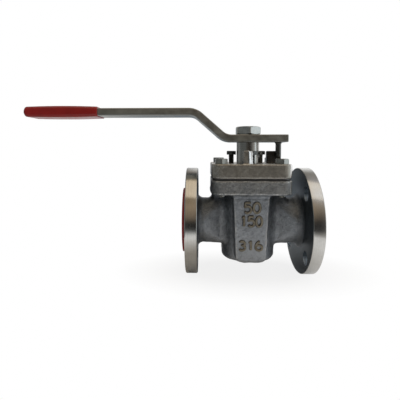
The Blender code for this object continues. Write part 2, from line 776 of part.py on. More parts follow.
def make_grip(red_plastic):
    """The plastic sleeve: barrelled, rounded at the closed end, with a pocket for the bar."""
    middle_z = LEVER_LOW + LEVER_RISE + LEVER_THICKNESS / 2
    tip = LEVER_TIP - GAP - GRIP_END_WALL
    mouth = tip + GRIP_LENGTH
    half_width = LEVER_WIDTH / 2 + GAP + GRIP_WALL
    half_height = LEVER_THICKNESS / 2 + GAP + GRIP_WALL
    levels = [(mouth, GRIP_CROWN)]
    for share in GRIP_LEVELS:
        swell = GRIP_CROWN * (4 * share * (1 - share) - GRIP_SINK)
        levels.append((mouth - share * GRIP_LENGTH, -swell))
    round_off = half_height * GRIP_TIP_ROUND
    for inset, back in arc((round_off, round_off), round_off, 180, 270, 5):
        levels.append((tip + back, inset))
    sections = []
    for x, inset in levels:
        corner = max(GRIP_CORNER - inset / 2, GRIP_WALL)
        section = rounded_box(half_width - inset, half_height - inset, corner, SMALL_STEPS)
        sections.append([(x, a, middle_z + b) for a, b in section])
    grip = piece("grip_sleeve", lofted(sections), red_plastic)
    pocket = rounded_box(
        LEVER_WIDTH / 2 + GAP, LEVER_THICKNESS / 2 + GAP, LEVER_EDGE, PLAIN_STEPS
    )
    ends = [
        [(x, a, middle_z + b) for a, b in pocket] for x in (LEVER_TIP - GAP, mouth + GRIP_WALL)
    ]
    cut(grip, helper("grip_pocket", lofted(ends)))
    return grip


def make_cap(name, side, red_plastic):
    """A plastic cover: a disc on the raised face with a centring ring in the bore."""
    low = FACE_TO_FACE / 2 + GAP
    high = low + CAP_THICKNESS
    ring_end = low - CAP_SPIGOT_DEPTH
    inner = CAP_SPIGOT_RADIUS - CAP_SPIGOT_WALL
    profile = [
        (inner, low),
        (inner, ring_end),
        (CAP_SPIGOT_RADIUS - CAP_EDGE, ring_end),
        (CAP_SPIGOT_RADIUS, ring_end + CAP_EDGE),
        (CAP_SPIGOT_RADIUS, low),
        (CAP_RADIUS, low),
        (CAP_RADIUS, high - CAP_EDGE),
        (CAP_RADIUS - CAP_EDGE, high),
    ]
    sections = [across_x(circle(radius), side * x) for radius, x in profile]
    return piece(name, lofted(sections), red_plastic)


def main():
    clear_scene()
    cast_steel = finish("cast_steel", (0.32, 0.34, 0.35), 0.55, 0.9)
    turned_steel = finish("turned_steel", (0.46, 0.46, 0.44), 0.28, 1.0)
    thin_steel = finish("thin_steel", (0.60, 0.60, 0.58), 0.30, 1.0)
    bright_steel = finish("bright_steel", (0.50, 0.50, 0.47), 0.32, 1.0)
    dull_steel = finish("dull_steel", (0.30, 0.30, 0.27), 0.42, 1.0)
    soft_white = finish("soft_white", (0.85, 0.85, 0.82), 0.45, 0.0)
    soft_dark = finish("soft_dark", (0.04, 0.04, 0.042), 0.5, 0.0)
    red_plastic = finish("red_plastic", (0.42, 0.03, 0.03), 0.40, 0.0)

    passage = helper("flow_way", flow_way())
    make_body(cast_steel, passage)
    make_flange("inlet_flange", -1, turned_steel, passage)
    make_flange("outlet_flange", 1, turned_steel, passage)
    make_sleeve(soft_white, passage)
    collar_high = make_packing(soft_white, soft_dark, thin_steel, turned_steel)
    make_cover(cast_steel)
    make_fasteners(bright_steel, collar_high)
    make_cap("inlet_cap", -1, red_plastic)
    make_cap("outlet_cap", 1, red_plastic)

    stem_axis = bpy.data.objects.new("stem_axis", None)
    bpy.context.collection.objects.link(stem_axis)
    turning = [
        make_plug(turned_steel, passage),
        make_lever(dull_steel),
        make_nut(bright_steel),
        make_stop_pin(dull_steel),
        make_grip(red_plastic),
    ]
    for moving in turning:
        moving.parent = stem_axis


main()
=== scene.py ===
"""Looks of a flanged, lever-operated plug valve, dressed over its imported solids.

Units are metres. The flow runs along X, the stem stands along +Z, and the origin is the point where
the flow axis and the stem axis cross. Cast forms are implicit solids, meshed where a distance formula
is zero; turned, rolled and moulded forms are grids of rings.
"""

from __future__ import annotations

import logging
import math
from dataclasses import dataclass, field
from enum import Enum
from functools import cache, reduce
from typing import Callable, Iterable, Sequence

import bpy
import numpy as np
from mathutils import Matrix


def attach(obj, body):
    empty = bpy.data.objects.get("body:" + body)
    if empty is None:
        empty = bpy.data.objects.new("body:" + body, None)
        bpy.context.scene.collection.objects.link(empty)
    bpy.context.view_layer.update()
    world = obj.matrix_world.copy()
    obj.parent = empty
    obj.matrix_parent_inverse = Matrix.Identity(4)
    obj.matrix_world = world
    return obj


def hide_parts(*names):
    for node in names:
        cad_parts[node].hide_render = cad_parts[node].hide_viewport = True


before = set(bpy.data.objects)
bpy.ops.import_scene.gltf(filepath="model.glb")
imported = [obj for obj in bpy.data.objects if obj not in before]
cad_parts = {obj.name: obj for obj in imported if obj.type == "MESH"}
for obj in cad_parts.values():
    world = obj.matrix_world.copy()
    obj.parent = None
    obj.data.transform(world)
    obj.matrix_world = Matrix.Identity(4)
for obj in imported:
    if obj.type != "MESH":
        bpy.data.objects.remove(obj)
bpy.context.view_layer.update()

LOG = logging.getLogger("plug_valve")
MM = 0.001
SHARP = math.radians(32.0)
WHITE = (1.0, 1.0, 1.0, 1.0)

Array = np.ndarray
Piece = bpy.types.Object
Socket = bpy.types.NodeSocket
Distance = Callable[[Array, Array, Array], Array]
Pair = tuple[float, float]
Triple = tuple[float, float, float]
Block = tuple[float, float, float, float]
Tones = tuple[tuple[float, Triple], ...]
Surface = tuple[Socket, Socket, Socket]

# Sizes that several pieces share

SQUARE_HALF = 53.0 * MM
SQUARE_CORNER = 13.0 * MM
SQUARE_EDGE = 1.6 * MM
BOLT_OFFSET = 40.0 * MM
SCREW_CIRCLE = 25.0 * MM
SCREW_BEARINGS = (36.0, 156.0, 276.0)
BORE = 25.0 * MM
HOLE_OFFSET = 60.3 * MM * math.sqrt(0.5)
HOLE_RADIUS = 9.5 * MM
BAR_WIDTH = 35.0 * MM
BAR_THICKNESS = 10.5 * MM
BAR_TIP = -313.0 * MM
GAP = 0.3 * MM
MARGIN = 3.0 * MM


# Distance formulas


def between(share: Array, first: float, last: float) -> Array:
    """A value that goes evenly from a first to a last one as a share goes from 0 to 1."""
    return first + share * (last - first)


def rising(values: Array, start: float, length: float) -> Array:
    """0 up to a start, 1 from a length past it on, and even between."""
    return np.clip((values - start) / length, 0.0, 1.0)


def outline_distance(a: Array, b: Array, half_a: Array, half_b: Array, corner: Array) -> Array:
    """Distance in a plane to a rectangle with rounded corners.

    Args:
        a: First coordinate from the middle.
        b: Second coordinate from the middle.
        half_a: Half the size along the first coordinate.
        half_b: Half the size along the second coordinate.
        corner: Radius of the corners.

    Returns:
        Length of the part that lies past the corner's centre, less the corner's radius.
    """
    past_a = np.abs(a) - (half_a - corner)
    past_b = np.abs(b) - (half_b - corner)
    outside = np.hypot(np.maximum(past_a, 0.0), np.maximum(past_b, 0.0))
    return outside + np.minimum(np.maximum(past_a, past_b), 0.0) - corner


def slab_distance(flat: Array, z: Array, low: float, high: float, edge: float) -> Array:
    """Distance to an outline pulled up between two heights.

    Args:
        flat: Distance to the outline in its plane.
        z: Heights.
        low: Height of the bottom.
        high: Height of the top.
        edge: Radius that rounds the upper and lower rims.

    Returns:
        The larger of the two distances, rounded where both are small.
    """
    side = flat + edge
    end = np.abs(z - (low + high) / 2) - (high - low) / 2 + edge
    outside = np.hypot(np.maximum(side, 0.0), np.maximum(end, 0.0))
    return outside + np.minimum(np.maximum(side, end), 0.0) - edge


def fillet(first: Array, second: Array, radius: float) -> Array:
    """Joins two solids with a hollow fillet: inside the radius the distance runs round a circle.

    Args:
        first: Distance to the first solid.
        second: Distance to the second solid.
        radius: Radius of the fillet.

    Returns:
        Distance to both together.
    """
    near = np.hypot(np.maximum(radius - first, 0.0), np.maximum(radius - second, 0.0))
    return np.maximum(np.minimum(first, second), radius) - near


def common(first: Array, second: Array, radius: float) -> Array:
    """What two solids share, with the edge between them rounded."""
    return -fillet(-first, -second, radius)


def without(solid: Array, *holes: Array) -> Array:
    """A solid with holes taken out of it."""
    for hole in holes:
        solid = np.maximum(solid, -hole)
    return solid


def unevenness(x: Array, y: Array, z: Array, height: float, length: float) -> Array:
    """Slow waves of a sand mould's wall: products of sines of unlike lengths along leaning axes.

    Args:
        x: First coordinate.
        y: Second coordinate.
        z: Third coordinate.
        height: Height of the waves.
        length: Length of the longest wave.

    Returns:
        What to add to a distance.
    """
    turn = math.tau / length
    slow = np.sin(turn * (x + 0.7 * z) + 0.4) * np.sin(turn * (1.1 * y - 0.6 * x) + 1.9)
    mid = np.sin(turn * (1.9 * z - 0.8 * y) + 2.2) * np.sin(turn * (2.3 * x + 0.5 * y) + 0.7)
    fine = np.sin(turn * (4.1 * x - 1.7 * z)) * np.sin(turn * (3.7 * y + 3.1 * z) + 1.1)
    return height * (0.5 * slow + 0.32 * mid + 0.18 * fine)


# Meshes


def unit(vectors: Array) -> Array:
    """Vectors along the last axis, scaled to length one."""
    return vectors / np.maximum(np.linalg.norm(vectors, axis=-1, keepdims=True), 1e-12)


def rounded(points: Iterable[Sequence[float]], radii: float | Sequence[float], steps: int = 5,
            closed: bool = False) -> Array:
    """Replaces the corners of a polyline by tangent arcs.

    The arc is swung between the two tangent points about the corner's centre, so it meets both sides
    without a kink.

    Args:
        points: Corners in a plane.
        radii: One radius, or one for each corner that is rounded.
        steps: Steps along each arc.
        closed: Whether the last corner joins the first.

    Returns:
        Points along the rounded line, shape (count, 2).
    """
    corners = np.asarray(list(points), dtype=float)
    before = np.roll(corners, 1, axis=0) if closed else corners[:-2]
    at = corners if closed else corners[1:-1]
    after = np.roll(corners, -1, axis=0) if closed else corners[2:]
    into, out = unit(before - at), unit(after - at)
    half = np.arccos(np.clip(np.sum(into * out, axis=1), -0.99999, 0.99999)) / 2
    room = np.minimum(np.linalg.norm(before - at, axis=1), np.linalg.norm(after - at, axis=1))
    reach = np.minimum(np.broadcast_to(radii, half.shape) / np.tan(half), room * 0.49)
    middle = at + unit(into + out) * (reach / np.cos(half))[:, None]
    start = at + into * reach[:, None] - middle
    end = at + out * reach[:, None] - middle
    sweep = math.pi - 2 * half
    share = np.linspace(0.0, 1.0, steps + 1)
    first = np.sin((1 - share) * sweep[:, None]) / np.sin(sweep)[:, None]
    second = np.sin(share * sweep[:, None]) / np.sin(sweep)[:, None]
    arcs = middle[:, None] + first[..., None] * start[:, None] + second[..., None] * end[:, None]
    line = arcs.reshape(-1, 2)
    return line if closed else np.concatenate([corners[:1], line, corners[-1:]])


def rounded_box(half_a: float, half_b: float, radius: float, steps: int) -> Array:
    """Points round a rectangle with rounded corners about the origin."""
    corners = [(-half_a, -half_b), (half_a, -half_b), (half_a, half_b), (-half_a, half_b)]
    return rounded(corners, radius, steps, closed=True)


def flood(points: Array, longest: float) -> Array:
    """A polyline with more points, so that no step is longer than a given length."""
    gaps = np.linalg.norm(np.diff(points, axis=0), axis=1)
    along = np.concatenate([[0.0], np.cumsum(gaps)])
    counts = np.maximum(np.ceil(gaps / longest).astype(int), 1)
    parts = [np.linspace(along[i], along[i + 1], n, endpoint=False) for i, n in enumerate(counts)]
    wanted = np.concatenate(parts + [along[-1:]])
    return np.stack([np.interp(wanted, along, points[:, i]) for i in range(points.shape[1])], axis=1)


def mesh_piece(name: str, points: Array, faces: list, smooth_angle: float = SHARP) -> Piece:
    """A piece from points and faces, turned so that its faces look outward.

    Args:
        name: Name of the piece.
        points: Vertices, shape (count, 3).
        faces: Tuples of vertex numbers.
        smooth_angle: Edges that bend by more than this stay sharp.

    Returns:
        The piece, linked to the scene.
    """
    mesh = bpy.data.meshes.new(name)
    mesh.from_pydata(points.tolist(), [], faces)
    mesh.calc_loop_triangles()
    corners = np.empty(len(mesh.loop_triangles) * 3, dtype=np.int32)
    mesh.loop_triangles.foreach_get("vertices", corners)
    a, b, c = np.moveaxis(points[corners.reshape(-1, 3)], 1, 0)
    if np.sum(a * np.cross(b, c)) < 0:
        mesh.flip_normals()
    mesh.shade_smooth()
    mesh.set_sharp_from_angle(angle=smooth_angle)
    piece = bpy.data.objects.new(name, mesh)
    bpy.context.collection.objects.link(piece)
    return piece


def skin(name: str, rings: Array, looped: bool = False) -> Piece:
    """A closed piece from rings of points: quads between neighbouring rings.

    Args:
        name: Name of the piece.
        rings: Points, shape (rings, points round a ring, 3).
        looped: Whether the last ring joins the first; otherwise both ends get a flat face.

    Returns:
        The piece.
    """
    count, around = rings.shape[:2]
    index = np.arange(count * around).reshape(count, around)
    lower = index if looped else index[:-1]
    upper = np.roll(index, -1, axis=0) if looped else index[1:]
    quads = np.stack([lower, np.roll(lower, -1, axis=1), np.roll(upper, -1, axis=1), upper], axis=-1)
    faces = quads.reshape(-1, 4).tolist()
    if not looped:
        faces += [index[0][::-1].tolist(), index[-1].tolist()]
    return mesh_piece(name, rings.reshape(-1, 3), faces)


class Axis(Enum):
    """Direction that a turned form is turned about."""

    FLOW = "x"
    STEM = "z"


def circle_angles(count: int) -> Array:
    """Angles round a full turn, without the last one."""
    return np.linspace(0.0, math.tau, count, endpoint=False)


def turned_rings(profile: Array, axis: Axis, around: int,
                 middle: Sequence[float] = (0.0, 0.0, 0.0)) -> Array:
    """Rings of a surface of revolution: each profile point (radius, height) sweeps a circle.

    Args:
        profile: Radii and heights, shape (count, 2).
        axis: Axis of the turning.
        around: Points in each circle.
        middle: Where the axis passes.

    Returns:
        Points, shape (count, around, 3).
    """
    angles = circle_angles(around)
    across = profile[:, :1] * np.cos(angles)
    beside = profile[:, :1] * np.sin(angles)
    along = np.broadcast_to(profile[:, 1:], across.shape)
    parts = (along, across, beside) if axis is Axis.FLOW else (across, beside, along)
    return np.stack(parts, axis=-1) + np.asarray(middle)


def carved(piece: Piece, *cutters: Piece) -> Piece:
    """Cuts pieces out of a piece by exact Booleans, keeps the result as its mesh and drops the cutters."""
    for cutter in cutters:
        modifier = piece.modifiers.new(cutter.name, "BOOLEAN")
        modifier.solver = "EXACT"
        modifier.operation = "DIFFERENCE"
        modifier.object = cutter
    ready = piece.evaluated_get(bpy.context.evaluated_depsgraph_get())
    mesh = bpy.data.meshes.new_from_object(ready)
    piece.modifiers.clear()
    piece.data = mesh
    mesh.shade_smooth()
    mesh.set_sharp_from_angle(angle=SHARP)
    for cutter in cutters:
        bpy.data.objects.remove(cutter)
    return piece


def set_values(piece: Piece, name: str, values: Array) -> None:
    """Keeps one number for each vertex as an attribute that a finish can read."""
    known = piece.data.attributes.get(name)
    attribute = known or piece.data.attributes.new(name, "FLOAT", "POINT")
    attribute.data.foreach_set("value", values.astype(np.float32))


def raise_values(piece: Piece, name: str, at_least: Callable[[Array], Array]) -> None:
    """Raises a vertex value to what a formula gives for the vertices' places.

    Args:
        piece: The piece.
        name: Name of the value.
        at_least: Formula from places, shape (count, 3), to values.
    """
    count = len(piece.data.vertices)
    places = np.empty(count * 3, dtype=np.float32)
    piece.data.vertices.foreach_get("co", places)
    values = np.empty(count, dtype=np.float32)
    piece.data.attributes[name].data.foreach_get("value", values)
    set_values(piece, name, np.maximum(values, at_least(places.reshape(-1, 3))))


@dataclass
class ImplicitMesher:
    """Meshes the zero level of a distance formula.

    One vertex goes in each grid cell that the surface crosses, at the mean of the crossings on the
    cell's edges; each crossed grid edge gives one quad between its four cells. The vertices are then
    moved along the formula's gradient onto the surface.

    Attributes:
        cell: Size of a grid cell.
        reach: How far out the formula is felt for hollows.
        edge_share: Share of that reach by which it is felt inward for edges.
        slope_share: Share of a cell by which the formula's slope is taken.
        moves: How often the vertices are moved onto the surface.
    """

    cell: float
    reach: float
    edge_share: float = 0.4
    slope_share: float = 0.2
    moves: int = 3

    def grid_surface(self, distance: Distance, low: Array, high: Array) -> tuple[Array, Array]:
        """Finds the surface on a grid.

        Args:
            distance: Formula that is negative inside.
            low: Lowest corner of the grid.
            high: Highest corner of the grid.

        Returns:
            Vertices and quads.
        """
        axes = [np.arange(low[i], high[i] + self.cell, self.cell) for i in range(3)]
        values = np.asarray(distance(*np.meshgrid(*axes, indexing="ij", sparse=True)))
        inside = values < 0
        shape = tuple(n - 1 for n in values.shape)
        total = np.zeros((*shape, 3))
        hits = np.zeros(shape)
        for axis in range(3):
            self.add_crossings(values, inside, axis, total, hits)
        busy = hits > 0
        number = np.full(shape, -1, dtype=np.int64)
        number[busy] = np.arange(np.count_nonzero(busy))
        place = np.argwhere(busy) + total[busy] / hits[busy][:, None]
        quads = np.concatenate([self.crossed_quads(inside, number, axis) for axis in range(3)])
        return np.asarray(low) + place * self.cell, quads

    @staticmethod
    def add_crossings(values: Array, inside: Array, axis: int, total: Array, hits: Array) -> None:
        """Adds where the surface crosses the grid edges along one axis to the four cells round each.

        Args:
            values: Distances at the grid points.
            inside: Which grid points are inside.
            axis: Direction of the edges.
            total: Sum of crossing places in each cell, in cells; it is added to.
            hits: Number of crossings in each cell; it is added to.
        """
        near = np.moveaxis(values, axis, 0)
        here = np.moveaxis(inside, axis, 0)
        crossed = here[:-1] != here[1:]
        span = np.where(crossed, near[:-1] - near[1:], 1.0)
        share = np.where(crossed, near[:-1] / span, 0.0)
        sums = np.moveaxis(total, axis, 0)
        counts = np.moveaxis(hits, axis, 0)
        others = [i for i in range(3) if i != axis]
        rows, columns = counts.shape[1:]
        for step_a in (0, 1):
            for step_b in (0, 1):
                window = (slice(None), slice(step_a, step_a + rows), slice(step_b, step_b + columns))
                hit = crossed[window]
                counts += hit
                sums[..., axis] += share[window]
                sums[..., others[0]] += hit * step_a
                sums[..., others[1]] += hit * step_b

    @staticmethod
    def crossed_quads(inside: Array, number: Array, axis: int) -> Array:
        """Quads between the four cells round each crossed grid edge of one axis.

        Args:
            inside: Which grid points are inside.
            number: Vertex number of each cell.
            axis: Direction of the edges.

        Returns:
            Vertex numbers, shape (count, 4), turned so that faces look outward.
        """
        here = np.moveaxis(inside, axis, 0)
        cells = np.moveaxis(number, axis, 0)
        crossed = (here[:-1] != here[1:])[:, 1:-1, 1:-1]
        leaving = here[:-1][:, 1:-1, 1:-1]
        corners = (cells[:, :-1, :-1], cells[:, 1:, :-1], cells[:, 1:, 1:], cells[:, :-1, 1:])
        quads = np.stack([corner[crossed] for corner in corners], axis=-1)
        backward = leaving[crossed] if axis == 1 else ~leaving[crossed]
        quads[backward] = quads[backward][:, ::-1]
        return quads

    def normals(self, distance: Distance, points: Array) -> Array:
        """Outward directions: the formula's slope by differences over a part of a cell."""
        step = self.cell * self.slope_share
        slopes = []
        for axis in range(3):
            shift = np.zeros(3)
            shift[axis] = step
            slopes.append(distance(*(points + shift).T) - distance(*(points - shift).T))
        return unit(np.stack(slopes, axis=1))

    def piece(self, name: str, distance: Distance, outer: Distance, low: Sequence[float],
              high: Sequence[float]) -> Piece:
        """Meshes a formula, with smooth normals and with values for hollows and edges.

        Args:
            name: Name of the piece.
            distance: Formula that is negative inside.
            outer: Formula of the outer walls alone, by which edges are felt.
            low: Lowest corner to look in.
            high: Highest corner to look in.

        Returns:
            The piece, with vertex values "hollow" and "edge" from 0 to 1.
        """
        points, quads = self.grid_surface(distance, np.asarray(low), np.asarray(high))
        for _ in range(self.moves):
            outward = self.normals(distance, points)
            move = np.clip(distance(*points.T), -self.cell / 2, self.cell / 2)
            points = points - outward * move[:, None]
        outward = self.normals(distance, points)
        piece = mesh_piece(name, points, quads.tolist(), math.pi)
        piece.data.normals_split_custom_set_from_vertices(outward.tolist())
        outside = distance(*(points + outward * self.reach).T) / self.reach
        inward = self.reach * self.edge_share
        within = -outer(*(points - outward * inward).T) / inward
        # How enclosed each vertex is; the cast finishes paint shade by this value.
        set_values(piece, "hollow", np.clip(1 - outside, 0, 1))
        set_values(piece, "edge", np.clip(1 - within, 0, 1))
        return piece


# Finishes


def opaque(colour: Triple) -> Block:
    """A colour with full alpha."""
    return (*colour, 1.0)


class Graph:
    """Adds shader nodes to one tree and links them."""

    def __init__(self, tree: bpy.types.NodeTree) -> None:
        """Takes the tree that nodes are added to."""
        self.tree = tree

    def feed(self, socket: Socket, value: object) -> None:
        """Links a socket to another, or sets its number or colour."""
        if isinstance(value, bpy.types.NodeSocket):
            self.tree.links.new(value, socket)
        else:
            socket.default_value = value

    def node(self, kind: str, inputs: dict | Sequence = (), **settings: object) -> bpy.types.Node:
        """Adds a node.

        Args:
            kind: Node type without its "ShaderNode" start.
            inputs: Values or sockets by input name, or in order of the inputs.
            **settings: Properties of the node.

        Returns:
            The node.
        """
        node = self.tree.nodes.new("ShaderNode" + kind)
        for key, value in settings.items():
            setattr(node, key, value)
        pairs = inputs.items() if isinstance(inputs, dict) else enumerate(inputs)
        for key, value in pairs:
            if value is not None:
                self.feed(node.inputs[key], value)
        return node

    def math(self, operation: str, first: object, second: object = 0.5) -> Socket:
        """A Math node's result."""
        return self.node("Math", (first, second), operation=operation).outputs[0]

    def blend(self, first: Socket, first_share: float, second: Socket, second_share: float) -> Socket:
        """The sum of two values, each times its share."""
        parts = self.math("MULTIPLY", first, first_share), self.math("MULTIPLY", second, second_share)
        return self.math("ADD", *parts)

    def length(self, vector: Socket) -> Socket:
        """Length of a vector."""
        return self.node("VectorMath", (vector,), operation="LENGTH").outputs["Value"]

    def parts(self, vector: Socket) -> bpy.types.NodeOutputs:
        """A vector's parts, by the names X, Y and Z."""
        return self.node("SeparateXYZ", (vector,)).outputs

    def rays(self) -> tuple[Socket, Socket]:
        """1 for a ray from the camera, and 1 for a ray from a shiny or clear surface."""
        path = self.node("LightPath").outputs
        mirrored = self.math("MAXIMUM", path["Is Glossy Ray"], path["Is Transmission Ray"])
        return path["Is Camera Ray"], mirrored

    def mix(self, share: object, first: object, second: object, blend: str = "MIX") -> Socket:
        """A colour between two colours."""
        node = self.node("Mix", data_type="RGBA", blend_type=blend)
        for socket, value in zip((node.inputs[0], node.inputs[6], node.inputs[7]), (share, first, second)):
            self.feed(socket, value)
        return node.outputs[2]

    def spread(self, value: Socket, low: float, high: float, to_low: float = 0.0,
               to_high: float = 1.0) -> Socket:
        """A value's range stretched to another range, held at its ends."""
        return self.node("MapRange", (value, low, high, to_low, to_high)).outputs[0]

    def noise(self, vector: Socket, scale: object, detail: float = 3.0, roughness: float = 0.55) -> Socket:
        """A noise value from 0 to 1."""
        inputs = {"Vector": vector, "Scale": scale, "Detail": detail, "Roughness": roughness}
        return self.node("TexNoise", inputs).outputs[0]

    def stretched(self, vector: Socket, scale: Sequence[float]) -> Socket:
        """Coordinates scaled along each axis."""
        return self.node("Mapping", {"Vector": vector, "Scale": scale}).outputs[0]

    def value(self, name: str) -> Socket:
        """A vertex value of the piece, or 0 where it has none."""
        return self.node("Attribute", attribute_name=name).outputs["Fac"]

    def group(self, tree: bpy.types.NodeTree, **inputs: object) -> bpy.types.Node:
        """Adds a node group."""
        node = self.tree.nodes.new("ShaderNodeGroup")
        node.node_tree = tree
        for key, value in inputs.items():
            self.feed(node.inputs[key], value)
        return node


class Effects:
    """Shared surface effects, each a node group with named sockets that is made once."""

    @staticmethod
    def new(name: str, inputs: dict[str, str],
            outputs: Sequence[str]) -> tuple[Graph, dict[str, Socket], bpy.types.Node]:
        """Starts a group.

        Args:
            name: Name of the group.
            inputs: Kind of each input socket by name.
            outputs: Names of the output values.

        Returns:
            The graph, its input sockets and its output node.
        """
        tree = bpy.data.node_groups.new(name, "ShaderNodeTree")
        for key, kind in inputs.items():
            tree.interface.new_socket(key, in_out="INPUT", socket_type="NodeSocket" + kind)
        for key in outputs:
            tree.interface.new_socket(key, in_out="OUTPUT", socket_type="NodeSocketFloat")
        start = tree.nodes.new("NodeGroupInput")
        end = tree.nodes.new("NodeGroupOutput")
        return Graph(tree), {key: start.outputs[key] for key in inputs}, end

    @staticmethod
    @cache
    def grain() -> bpy.types.NodeTree:
        """Blasted grain: fine pits in coarser dimples."""
        coarser, dimple_share, pit_share = 0.42, 0.8, 0.5
        inputs = {"Vector": "Vector", "Scale": "Float"}
        graph, given, end = Effects.new("blasted_grain", inputs, ("Tone", "Height"))
        fine = graph.noise(given["Vector"], given["Scale"], 4.0, 0.7)
        coarse = graph.noise(given["Vector"], graph.math("MULTIPLY", given["Scale"], coarser), 2.0)
        cells = {"Vector": given["Vector"], "Scale": given["Scale"]}
        pits = graph.node("TexVoronoi", cells).outputs["Distance"]
        bumps = graph.math("ADD", fine, graph.math("MULTIPLY", coarse, dimple_share))
        height = graph.math("ADD", bumps, graph.math("MULTIPLY", pits, pit_share))
        graph.feed(end.inputs["Tone"], graph.spread(bumps, 0.55, 1.2))
        graph.feed(end.inputs["Height"], height)
        return graph.tree

    @staticmethod
    @cache
    def wear() -> bpy.types.NodeTree:
        """Worn edges: the edge value, broken up by noise; on the castings that value also carries painted
        highlights.
        """
        breaks = 0.25
        inputs = {"Vector": "Vector", "Edge": "Float", "Scale": "Float"}
        graph, given, end = Effects.new("worn_edges", inputs, ("Mask",))
        noise = graph.noise(given["Vector"], given["Scale"], 5.0, 0.7)
        broken = graph.math("ADD", given["Edge"], graph.spread(noise, 0.3, 0.7, -breaks, breaks))
        graph.feed(end.inputs["Mask"], graph.spread(broken, 0.25, 0.6))
        return graph.tree

    @staticmethod
    @cache
    def lines() -> bpy.types.NodeTree:
        """Lines of a cutting tool: noise along the sum of height and radius, so rims and faces get rings."""
        inputs = {"Along": "Float", "Radius": "Float", "Pitch": "Float"}
        graph, given, end = Effects.new("tool_lines", inputs, ("Tone", "Height"))
        place = graph.math("DIVIDE", graph.math("ADD", given["Along"], given["Radius"]), given["Pitch"])
        settings = {"W": place, "Scale": 1.0, "Detail": 2.0, "Roughness": 0.6}
        noise = graph.node("TexNoise", settings, noise_dimensions="1D").outputs[0]
        graph.feed(end.inputs["Tone"], graph.spread(noise, 0.3, 0.7))
        graph.feed(end.inputs["Height"], noise)
        return graph.tree


@dataclass(frozen=True)
class Finish:
    """A surface finish.

    Attributes:
        name: Name of the material.
        light: Lighter colour of the surface.
        dark: Darker colour of the surface.
        roughness: Middle roughness.
        metallic: Share of metal.
        coat: Strength of the gloss on top.
        span: Range of tones that goes from dark to light.
        rough_span: Range of tones over which the roughness changes.
        swing: Change of the roughness at the two ends of that range.
        strength: Strength of the bumps.
        depth: Depth of the bumps.
    """

    name: str
    light: Triple
    dark: Triple
    roughness: float
    metallic: float
    coat: float = 0.0
    span: Pair = (0.35, 0.65)
    rough_span: Pair = (0.3, 0.7)
    swing: Pair = (-0.05, 0.09)
    strength: float = 0.12
    depth: float = 0.05 * MM

    def material(self) -> bpy.types.Material:
        """The material, made once."""
        known = bpy.data.materials.get(self.name)
        if known:
            return known
        material = bpy.data.materials.new(self.name)
        material.use_nodes = True
        graph = Graph(material.node_tree)
        shader = material.node_tree.nodes["Principled BSDF"]
        colour, rough, normal = self.surface(graph, graph.node("TexCoord").outputs["Object"])
        settings = {"Base Color": colour, "Roughness": rough, "Normal": normal}
        settings |= {"Metallic": self.metallic, "Coat Weight": self.coat}
        for key, value in settings.items():
            graph.feed(shader.inputs[key], value)
        return material

    def surface(self, graph: Graph, place: Socket) -> Surface:
        """Adds the finish's own nodes.

        Args:
            graph: Graph of the material.
            place: Coordinates on the piece.

        Returns:
            Its colour, roughness and normal.
        """
        raise NotImplementedError

    def tinted(self, graph: Graph, tone: Socket) -> Socket:
        """Colour from dark to light by a tone."""
        return graph.mix(graph.spread(tone, *self.span), opaque(self.dark), opaque(self.light))

    def roughened(self, graph: Graph, tone: Socket) -> Socket:
        """Roughness that swings about its middle by a tone."""
        return graph.spread(tone, *self.rough_span, *(self.roughness + change for change in self.swing))

    def bump(self, graph: Graph, height: Socket) -> Socket:
        """Normal of a surface with a height."""
        inputs = {"Height": height, "Strength": self.strength, "Distance": self.depth}
        return graph.node("Bump", inputs).outputs[0]


